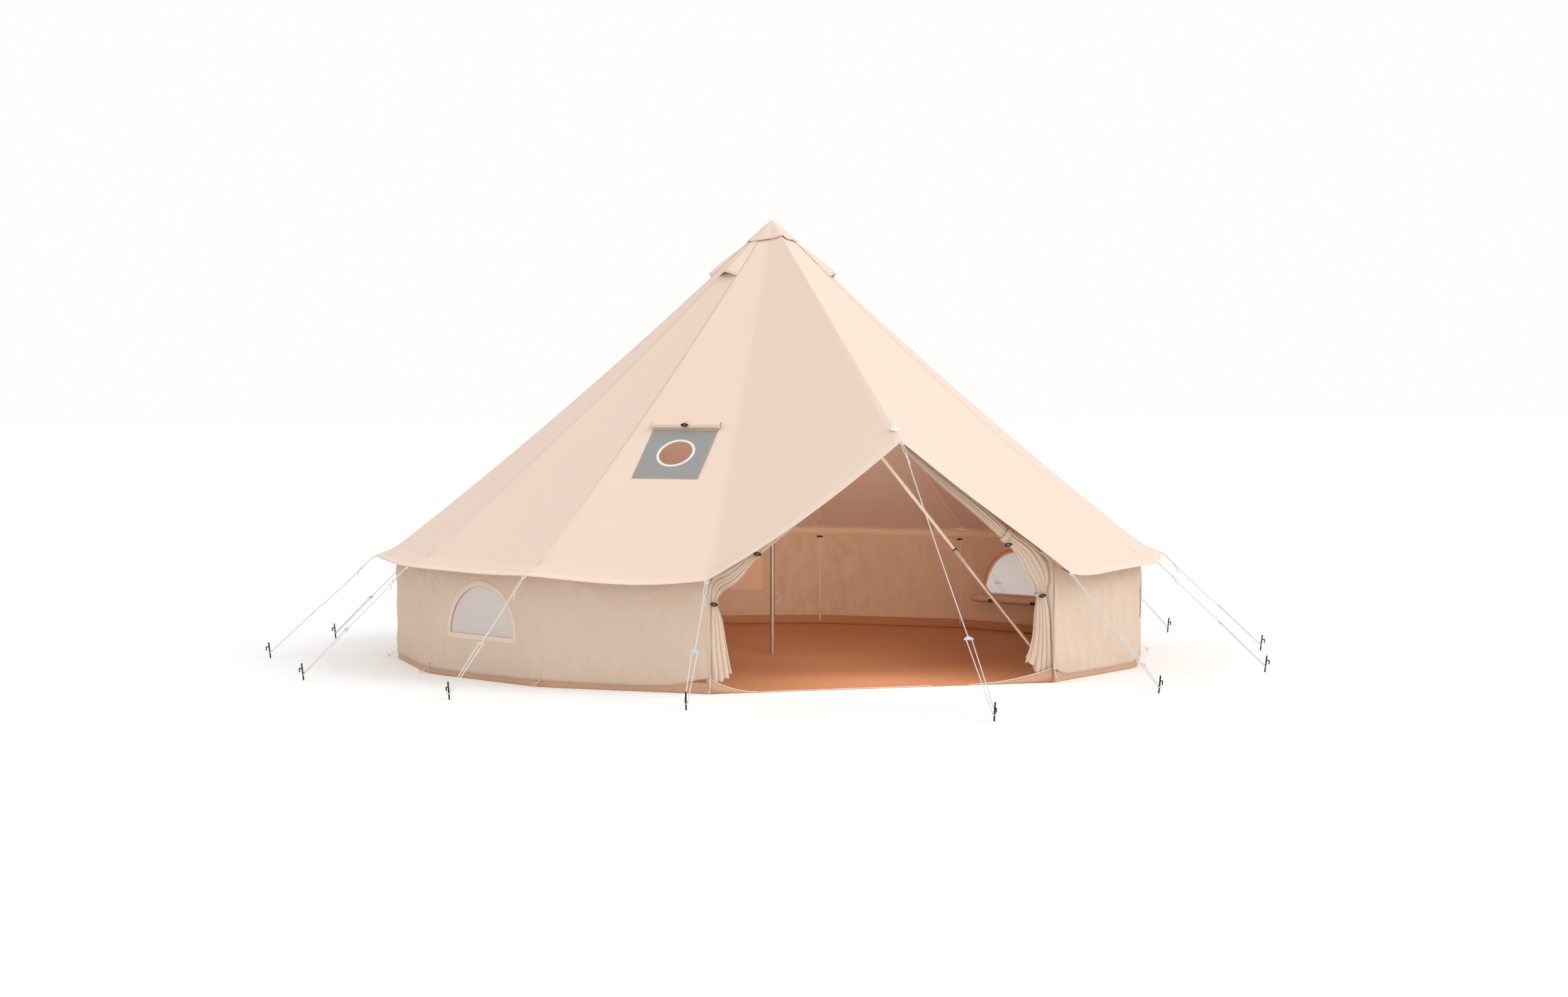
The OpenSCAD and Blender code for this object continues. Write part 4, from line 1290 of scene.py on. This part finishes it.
class TENT_OT_groundsheet(bpy.types.Operator):
    """Groundsheet with its upstand and the piped gussets at the door."""

    bl_idname = "tent.groundsheet"
    bl_label = "Groundsheet"

    def execute(self, context):
        form = TentForm()
        s = form.s
        a = s.half_width - 0.0026
        rim = round_wall(20)
        edge = [form.plan_at(k, t, a) for k, t in rim]
        sill = steps(edge[-1], edge[0], 36)[1:-1]
        self.floor(edge + sill, a)
        side, piping = Patchwork(), Patchwork()
        heights = [1.0, 0.97, 0.75, 0.5, 0.25, 0.08, 0.0]
        rows = [[form.plan_at(k, t, a + 0.0016 * ripple((k + t) * 6, h, 14) * h)
                 + UP * (s.upstand * h + 0.002) for k, t in rim] for h in heights]
        side.grid(rows, lambda i, j: (sum(rim[j]) * form.panel, heights[i] * s.upstand))
        self.gusset(side, piping, edge[-1], -1, 0.3)
        self.gusset(side, piping, edge[0], 1, 0.56)
        piping.tube([p + Vector((0, 0.003, 0.0045)) for p in sill][4:-12], 0.003, 8)
        # The upstand's inside face has painted shade.
        upstand = side.cloth("groundsheet_upstand", 0.0016, "Upstand", "Inner upstand")
        place(upstand, "groundsheet", "upstand")
        place(piping.piece("gusset_piping", "Trim tape"), "trim")
        return {"FINISHED"}

    def floor(self, edge, a):
        """Floor inside its edge, lying in slight waves."""
        count = len(edge)

        def spot(p, share):
            q = p * share
            wave = 0.002 * abs(ripple(q.x * 2.2, q.y * 2.2, 12)) * (1 - share ** 6)
            return Vector((q.x, q.y, 0.0022 + wave))

        shares = [0.1, 0.2, 0.3, 0.4, 0.5, 0.6, 0.7, 0.78, 0.85, 0.91, 0.96, 1.0]
        rows = [[spot(p, share) for p in edge] for share in shares]
        tub = Patchwork().grid(rows, lambda i, j: rows[i][j % count].xy[:], closed=True)
        tub.fan(UP * 0.0025, count, lambda j, right: [(0.0, 0.0), rows[0][j].xy[:], rows[0][right].xy[:]])
        floor = place(tub.cloth("groundsheet_floor", 0.0016, "Groundsheet"), "groundsheet", "groundsheet")

    def gusset(self, side, piping, corner, sign, reach):
        """Tapering end of the upstand along the threshold."""
        low, high = 0.0035, 0.09
        rows = [[], [], []]
        for share in steps(0.0, 1.0, 24):
            x, y = corner.x - sign * reach * share, corner.y + 0.003
            lean = 0.02 * (1 - share) * math.sin(math.pi * share)
            front = Vector((x, y, 0.002))
            crest = Vector((x, y + lean, low + (high - low) * (1 - share) ** 2.1))
            for row, rise in zip(rows, (1.0, 0.5, 0.0)):
                row.append(lerp(front, crest, rise))
        side.grid(rows, lambda i, j: (0.02 * j, 0.04 - 0.02 * i), flip=sign > 0)
        piping.tube([p + UP * 0.001 for p in rows[0]], 0.0035, 8)


class TENT_OT_curtains(bpy.types.Operator):
    """Door curtains, gathered and tied back, with their straps and toggles."""

    bl_idname = "tent.curtains"
    bl_label = "Door curtains"

    def execute(self, context):
        form = TentForm()
        straps, spots = Patchwork(), []
        for name, sign in (("left", -1), ("right", 1)):
            self.curtain(form, name, sign, straps, spots)
        place(straps.piece("curtain_straps", "Webbing"), "webbing")
        place(copies("curtain_toggles", toggle_part(), spots, "Dark plastic"), "peg")
        return {"FINISHED"}

    def line(self, form, sign):
        """Middle line with half width and depth of the gathered cloth, from the tip to the floor."""
        s = form.s
        a = (s.half_width - 0.0023) / math.cos(HALF) * math.sin(STEP)
        if sign > 0:
            tucked = ()
            under = ((0.03, 0.06, 0.01, 0.014, 0.012), (0.12, 0.09, 0.008, 0.026, 0.018),
                     (0.26, 0.11, 0.014, 0.034, 0.02), (0.44, 0.115, 0.02, 0.04, 0.022),
                     (0.6, 0.11, 0.05, 0.038, 0.022), (0.71, 0.115, 0.06, 0.06, 0.032))
            hung = ((0.14 * a, -0.05, 0.735, 0.078, 0.036), (0.1, -0.01, 0.65, 0.06, 0.034),
                    (0.086, 0.02, 0.553, 0.027, 0.024), (0.075, 0.03, 0.44, 0.05, 0.032),
                    (0.068, 0.045, 0.28, 0.066, 0.036), (0.07, 0.06, 0.15, 0.087, 0.038),
                    (0.074, 0.066, 0.085, 0.1, 0.04))
        else:
            tucked = ((0.06, 0.965, 0.03, 0.012, 0.01), (0.16, 0.945, 0.045, 0.02, 0.014),
                      (0.34, 0.94, 0.05, 0.024, 0.016), (0.56, 0.945, 0.05, 0.028, 0.018))
            under = ((0.72, 0.1, 0.034, 0.026, 0.02), (0.83, 0.13, 0.085, 0.048, 0.028))
            hung = ((0.05 * a, 0.02, 0.67, 0.06, 0.032), (0.024, 0.024, 0.615, 0.046, 0.03),
                    (0.018, 0.024, 0.542, 0.028, 0.022), (0.024, 0.03, 0.43, 0.058, 0.03),
                    (0.034, 0.042, 0.28, 0.076, 0.034), (0.05, 0.054, 0.14, 0.086, 0.036),
                    (0.056, 0.06, 0.068, 0.094, 0.038))
        line = [(form.roof_at(13, 1 - t, u, -drop), *size) for t, u, drop, *size in tucked]
        for t, back, drop, *size in under:
            edge = form.roof_base(0, t, 1.0) if sign > 0 else form.roof_base(13, 1 - t, 1.0)
            line.append((edge + Vector((0, back, -drop)), *size))
        for inward, back, z, *size in hung:
            line.append((Vector((sign * (a - inward), back - s.threshold, z)), *size))
        return line

    def axes(self, way):
        """Side and front of cloth that hangs along way."""
        side = way.cross(-BACK).normalized()
        return side, facing(side.cross(way).normalized(), -BACK)

    def curtain(self, form, name, sign, straps, spots):
        """One curtain: pleats along its line, held to the wall's edge below the strap."""
        line = self.line(form, sign)
        path = catmull([p for p, _, _ in line], 12)
        sizes = catmull([Vector((half, depth, 0)) for _, half, depth in line], 12)
        folds = form.s.pleats
        across, last = 16 * folds, len(path) - 1
        corner = form.plan_at(1 if sign > 0 else 12, 0.0 if sign > 0 else 1.0, form.s.half_width)
        rows, painted_fold_shades = [], []
        for i, (point, way) in enumerate(zip(path, ways_of(path))):
            side, front = self.axes(way)
            half, depth, _ = sizes[i]
            share = i / last
            hold = ease((0.8 - point.z) / 0.1)
            row = []
            for t in steps(0.0, 1.0, across):
                phase = math.tau * folds * (t + 0.05 * ripple(t * 3, share * 2.5, 21 + sign))
                wave = 2 * abs(math.cos(phase / 2)) - 1
                wave *= 0.85 + 0.3 * ripple(t * 9, share * 2.5, 31 + sign)
                # Painted shade mask for the curtain material: low in fold valleys, and lowered further on
                # the tucked upper part under the canopy.
                painted_fold_shades.append(wave - 0.8 * ease((point.z - 0.85) / 0.25))
                x = (2 * t - 1) * half + 0.55 * half / folds * math.sin(phase)
                crown = 0.45 * depth * (1 - (2 * t - 1) ** 2)
                spot = point + side * x * sign + front * (depth * 0.75 * wave + crown)
                if share > 0.8:
                    zigzag = 0.055 * (2 * t - 1) - 0.016 * wave
                    spot.z += (share - 0.8) / 0.2 * (0.025 * ripple(t * 7, 3.3, 41 + sign) + zigzag)
                wall_end = corner + Vector((sign * 0.004, 0.006, spot.z))
                row.append(lerp(spot, wall_end, hold * max(1 - t / 0.2, 0.0) ** 1.4))
            rows.append(row)
        wide, long = 1.05, runs_of(path)[-1]
        cloth = Patchwork().grid(rows, lambda i, j: (wide * j / across, long * i / last), flip=sign > 0)
        made = cloth.cloth(f"curtain_{name}_cloth", 0.0012, "Curtain canvas")
        # The fold attribute carries the painted shade mask.
        made.data.attributes.new("fold", "FLOAT", "POINT").data.foreach_set("value", painted_fold_shades)
        place(made, "curtain", f"curtain_{name}")
        for index, strap, low in ((48, 0.034, 0.055 if sign > 0 else 0.006), (96, 0.02, 0.0)):
            side, front = self.axes((path[index + 1] - path[index - 1]).normalized())
            half, depth, _ = sizes[index]
            ring = circle(path[index] + front * depth * 0.2, side * (half * 1.12 + 0.003),
                          front * (depth * 1.05 + 0.004), 28, 1)
            straps.band(ring, circle(Vector(), side, front, 28, 1), strap, 0.0018)
            spot = path[index] + front * (depth * 1.3 + 0.012) - UP * low
            spots.append((spot, turn_of(Vector((1, 0, 0.12 * sign)), front)))


class TENT_OT_poles(bpy.types.Operator):
    """Steel finish of the poles and braces, white finish of the ridge pin, with the joints of the poles and
    braces.
    """

    bl_idname = "tent.poles"
    bl_label = "Poles"

    def execute(self, context):
        paint("Zinc steel", "centre_pole", "brace_collar")
        paint("Brace steel", "brace_left", "brace_right")
        paint("White plastic", "ridge_pin")
        joints, sleeves, rims = Patchwork(), Patchwork(), Patchwork()
        section = ((-0.002, 0.0158), (-0.0012, 0.0172), (0.0012, 0.0172), (0.002, 0.0158))
        for z in (0.98, 1.96):
            rows = [circle(UP * (z - dz), RIGHT * r, BACK * r, 40) for dz, r in section]
            joints.grid(rows, lambda i, j: (0.003 * j, 0.002 * i), closed=True)
        for turn in (-BRACE_TURN, BRACE_TURN):
            out = aim(turn / STEP)
            head, foot = out * 0.042 + UP * 2.25, out * (0.788 * WALL_HIGH.x)
            way = (foot - head).normalized()
            joint = lerp(head, foot, BRACE_JOINT)
            sleeves.tube(steps(joint, foot - way * 0.03, 6), 0.0143, 24)
            rims.tube([joint - way * 0.004, joint, joint + way * 0.004], 0.0152, 24)
        place(joints.piece("pole_joints", "Zinc steel"), "steel")
        place(sleeves.piece("brace_sleeves", "Brace steel"), "steel")
        place(rims.piece("brace_rims", "Dark steel"), "steel")
        return {"FINISHED"}


def slider_part():
    """Triangular rope runner with three holes, its wide side on X and its point on Y."""
    def arc(x, y, r, turns):
        """Points at a radius round x, y, one for each turn."""
        return [(x + r * math.cos(a), y + r * math.sin(a)) for a in turns]

    def rank(face):
        """Number that only this face has, from its three lowest points."""
        low = sorted(v.index for v in face.verts)
        return (low[0] * len(work.verts) + low[1]) * len(work.verts) + low[2]

    work = bmesh.new()
    half, high, thick = 0.03, 0.026, 0.008
    outline = []
    for x, y, r, start, end in ((-half + 0.007, -high / 2 + 0.006, 0.006, 180, 270),
                                (half - 0.007, -high / 2 + 0.006, 0.006, 270, 360),
                                (0.0, high / 2 - 0.007, 0.007, 30, 150)):
        outline += arc(x, y, r, [math.radians(a) for a in steps(start, end, 5)])
    holes = ((-SLIDER_HOLE, -0.0045), (SLIDER_HOLE, -0.0045), (0.0, 0.005))
    round_turns = [math.tau * j / 10 for j in range(10)]
    edges = []
    for loop in [outline] + [arc(x, y, 0.0036, round_turns) for x, y in holes]:
        verts = [work.verts.new((x, y, -thick / 2)) for x, y in loop]
        edges += [work.edges.new(pair) for pair in zip(verts, verts[1:] + verts[:1])]
    bmesh.ops.triangle_fill(work, edges=edges, use_beauty=True)
    top = bmesh.ops.extrude_face_region(work, geom=work.faces[:])
    moved = [g for g in top["geom"] if isinstance(g, bmesh.types.BMVert)]
    bmesh.ops.translate(work, verts=moved, vec=(0, 0, thick))
    bmesh.ops.recalc_face_normals(work, faces=work.faces[:])
    # The extrude lists its faces in an order that changes from run to run, so they are sorted.
    work.verts.index_update()
    work.faces.sort(key=rank)
    mesh = bpy.data.meshes.new("slider_part")
    work.to_mesh(mesh)
    work.free()
    mesh.uv_layers.new(name="Cloth")
    return bpy.data.objects.new("slider_part", mesh)


def ring_part(radius, wire, sides=20):
    """Round ring of wire, its axis on Z."""
    path = circle(Vector(), RIGHT * radius, BACK * radius, sides)
    rows = [circle(p, p.normalized() * wire, UP * wire, 8) for p in path]
    part = Patchwork().grid(rows + rows[:1], lambda i, j: (0.001 * j, 0.004 * i), closed=True, flip=True)
    return welded(part.piece("ring_part", "White plastic"))


class TENT_OT_guys(bpy.types.Operator):
    """Guy ropes with their knots, sliders, eyelets and pegs."""

    bl_idname = "tent.guys"
    bl_label = "Guy ropes"

    def execute(self, context):
        form = TentForm()
        ropes, sliders, eyelets, tabs = Patchwork(), [], [], Patchwork()
        for k in range(SIDES):
            tip, hitch = form.ridge(k, 1.0), form.peg_hitch(k)
            run = lerp(tip, hitch, 0.58 if k else 0.735)
            way = (hitch - tip).normalized()
            side = tangent(k)
            off = facing(side.cross(way).normalized(), UP)
            self.rope(form, ropes, k, tip, run, hitch, way, off)
            sliders.append((run, turn_of(side, off)))
            eyelets.append((tip + way * 0.006 - UP * 0.006, turn_of(side, off)))
            if k:
                inward = (form.ridge(k, 0.975) - tip).normalized()
                normal = facing(inward.cross(side).normalized(), UP)
                hem = [tip + inward * 0.07, tip + inward * 0.035, tip - UP * 0.001]
                line = [p - normal * 0.0045 for p in hem] + [tip + way * 0.012 - off * 0.004]
                tabs.band(line, [normal] * 3 + [off], 0.026, 0.0018)
        place(ropes.piece("guy_rope_set", "Guy rope"), "rope", "guy_ropes")
        place(copies("rope_slider_set", slider_part(), sliders, "Slider plastic"), "slider", "rope_sliders")
        place(copies("eave_eyelets", ring_part(0.011, 0.0032), eyelets, "White plastic"), "white_plastic")
        place(tabs.piece("eave_tabs", "Webbing"), "webbing")
        paint("Dark steel", "guy_pegs")
        return {"FINISHED"}

    def rope(self, form, ropes, k, tip, run, hitch, way, off):
        """One guy: a tied loop at the eave, one strand to the slider, two to the peg."""
        thick = form.s.rope
        side = tangent(k)
        start, knot = tip + way * 0.014, tip + way * 0.13
        for sign in (-1, 1):
            bow = [start, start + way * 0.03 + side * sign * 0.006, start + way * 0.07 + side * sign * 0.008,
                   knot - way * 0.012 + side * sign * 0.003]
            ropes.tube(catmull(bow, 5), thick * 0.9, 7)
        coil = []
        for share in steps(0.0, 1.0, 30):
            turn = math.tau * 3 * share
            spoke = side * math.cos(turn) + off * math.sin(turn)
            coil.append(knot + way * (0.012 * share - 0.006) + spoke * thick * 1.6)
        ropes.tube(coil, thick * 0.9, 7)
        bends = ((0, 0, 0), (0.008, 0.012, 0.006), (0.012, 0.026, 0.02), (0.01, 0.032, 0.036))
        tail = [knot + side * x + way * y - UP * z for x, y, z in bends]
        ropes.tube(catmull(tail, 6), thick * 0.9, 7)
        sag = 0.006 if k else 0.012
        strand = [lerp(knot - way * 0.01, run, share) - UP * sag * 4 * share * (1 - share)
                  for share in steps(0.0, 1.0, 24)]
        ropes.tube(strand, thick, 8)
        for sign in (-1, 1):
            low = run - way * 0.004 + side * sign * SLIDER_HOLE
            ropes.tube(steps(low, hitch + side * sign * 0.0082, 16), thick, 8)
        bight = [hitch + side * 0.0082 * math.cos(a) + aim(k) * 0.0085 * math.sin(a)
                 for a in steps(0.0, math.pi, 12)]
        ropes.tube(bight, thick, 8)


class TENT_OT_fixings(bpy.types.Operator):
    """Webbing loops and rings that peg the wall's corners down."""

    bl_idname = "tent.fixings"
    bl_label = "Corner fixings"

    def execute(self, context):
        form = TentForm()
        loops, rings = Patchwork(), []
        for k in range(1, 14):
            out = aim(k)
            spot = (k, 0.0) if k < 13 else (12, 1.0)
            corner, hem = form.plan_at(*spot, form.s.half_width), form.wall_hem(*spot)
            reach = form.wall_r + 0.046 - corner.length
            line = catmull([corner + out * x + UP * z for x, z in (
                (0.002, hem + 0.03), (0.003, hem + 0.004), (0.007, hem - 0.006), (reach - 0.022, 0.027))], 5)
            loops.band(line, [out + UP * 0.5] * len(line), 0.012, 0.002)
            ring = corner + out * (reach - 0.011) + UP * 0.019
            rings.append((ring, turn_of(tangent(k), out * 0.6 + UP * 0.8)))
        place(loops.piece("corner_loops", "Webbing"), "webbing", "peg_loops")
        place(copies("corner_rings", ring_part(0.011, 0.0018), rings, "Zinc steel"), "steel")
        paint("Zinc steel", "corner_pegs")
        return {"FINISHED"}


class TENT_OT_inside(bpy.types.Operator):
    """Seam tapes, toggles, tabs, pocket patch and cable ring inside."""

    bl_idname = "tent.inside"
    bl_label = "Inside fittings"

    def execute(self, context):
        form = TentForm()
        s = form.s
        tapes, tabs, spots = Patchwork(), Patchwork(), []
        lining = -s.canvas - 0.0004
        for k in range(2, 13):
            inward = -aim(k)
            line = [form.wall_at(k, 0.0, z, lining) for z in steps(0.73, 0.075, 12)]
            tapes.band(line, [inward] * 13, 0.014, 0.0026)
            roof = [form.roof_at(k, 0.0, u, lining) for u in steps(0.948, 0.1, 30)]
            tapes.band(roof, [inward * 0.68 - UP * 0.73] * 31, 0.03, 0.0024)
            spots.append((form.wall_at(k, 0.0, 0.672, -0.016), turn_of(tangent(k), UP + inward * 0.35)))
            foot = [form.wall_at(k, 0.0, z, -d) for z, d in ((0.08, 0.005), (0.05, 0.008), (0.022, 0.012))]
            tabs.band(foot, [inward] * 3, 0.014, 0.002)
        columns = round_wall(10)
        rows = [[form.wall_at(k, t, z, -s.canvas - d) for k, t in columns]
                for z, d in ((0.737, 0.0006), (0.735, 0.0022), (0.692, 0.0034), (0.69, 0.0006))]
        band = Patchwork().grid(rows, lambda i, j: (sum(columns[j]) * form.panel, 0.02 * i), flip=True)
        place(band.piece("wall_top_band", "Inside tape"), "wall_canvas")
        place(tapes.piece("inside_tapes", "Inside tape"), "trim")
        place(tabs.piece("inside_tabs", "Webbing"), "webbing")
        place(copies("inside_toggles", toggle_part(), spots, "Dark plastic"), "peg")
        self.pocket(form)
        middle = POCKET_PANEL + 0.5
        spots = [(form.on_panel(POCKET_PANEL, -0.222, 0.2, -s.canvas - 0.002),
                  turn_of(tangent(middle), -aim(middle)))]
        place(copies("cable_ring", ring_part(0.038, 0.004, 32), spots, "Trim tape"), "trim")
        return {"FINISHED"}

    def pocket(self, form):
        """Square patch on the back wall, with a corded edge."""
        half, low, high = 0.126, 0.26, 0.51

        def on_lining(x, z, lift):
            return form.on_panel(POCKET_PANEL, x, z, -form.s.canvas - lift)

        def spot(down, across):
            rim = {down, across} & {0.0, 1.0}
            return on_lining(lerp(-half, half, across), lerp(high, low, down), 0.0004 if rim else 0.004)

        corners = [(-half, low), (half, low), (half, high), (-half, high), (-half, low)]
        path = []
        for (x0, z0), (x1, z1) in zip(corners, corners[1:]):
            path += [on_lining(lerp(x0, x1, i / 8), lerp(z0, z1, i / 8), 0.003) for i in range(8)]
        edging = Patchwork()
        edging.tube(path + path[:1], 0.0035, 8, False)
        place(edging.piece("pocket_edging", "Inside tape"), "trim")
        pocket = Patchwork().grid(sweep(8, 8, spot), lambda i, j: (0.03 * j, 0.03 * i), flip=True)
        place(pocket.piece("wall_pocket", "Inside tape"), "wall_canvas")


class TENT_PT_tent(bpy.types.Panel):
    """Sizes, colours and pieces of the tent."""

    bl_idname = "TENT_PT_tent"
    bl_label = "Bell tent"
    bl_space_type = "VIEW_3D"
    bl_region_type = "UI"
    bl_category = "Tent"

    def draw(self, context):
        column = self.layout.column(align=True)
        for group in (context.scene.tent_sizes, context.scene.tent_colours):
            for name in group.__annotations__:
                column.prop(group, name)
        for kind in PIECES:
            column.operator(kind.bl_idname)


PIECES = (TENT_OT_stage, TENT_OT_roof, TENT_OT_peak, TENT_OT_walls, TENT_OT_windows, TENT_OT_stove_jack,
          TENT_OT_groundsheet, TENT_OT_curtains, TENT_OT_poles, TENT_OT_guys, TENT_OT_fixings,
          TENT_OT_inside)
CLASSES = (TentSizes, TentColours, *PIECES, TENT_PT_tent)


def register():
    for kind in CLASSES:
        bpy.utils.register_class(kind)
    bpy.types.Scene.tent_sizes = PointerProperty(type=TentSizes)
    bpy.types.Scene.tent_colours = PointerProperty(type=TentColours)


def unregister():
    del bpy.types.Scene.tent_colours
    del bpy.types.Scene.tent_sizes
    for kind in reversed(CLASSES):
        bpy.utils.unregister_class(kind)


def main():
    register()
    make_finishes()
    bpy.ops.tent.stage()
    bpy.ops.tent.roof()
    bpy.ops.tent.peak()
    bpy.ops.tent.walls()
    bpy.ops.tent.windows()
    bpy.ops.tent.stove_jack()
    bpy.ops.tent.groundsheet()
    bpy.ops.tent.curtains()
    bpy.ops.tent.poles()
    bpy.ops.tent.guys()
    bpy.ops.tent.fixings()
    bpy.ops.tent.inside()


if __name__ == "__main__":
    main()
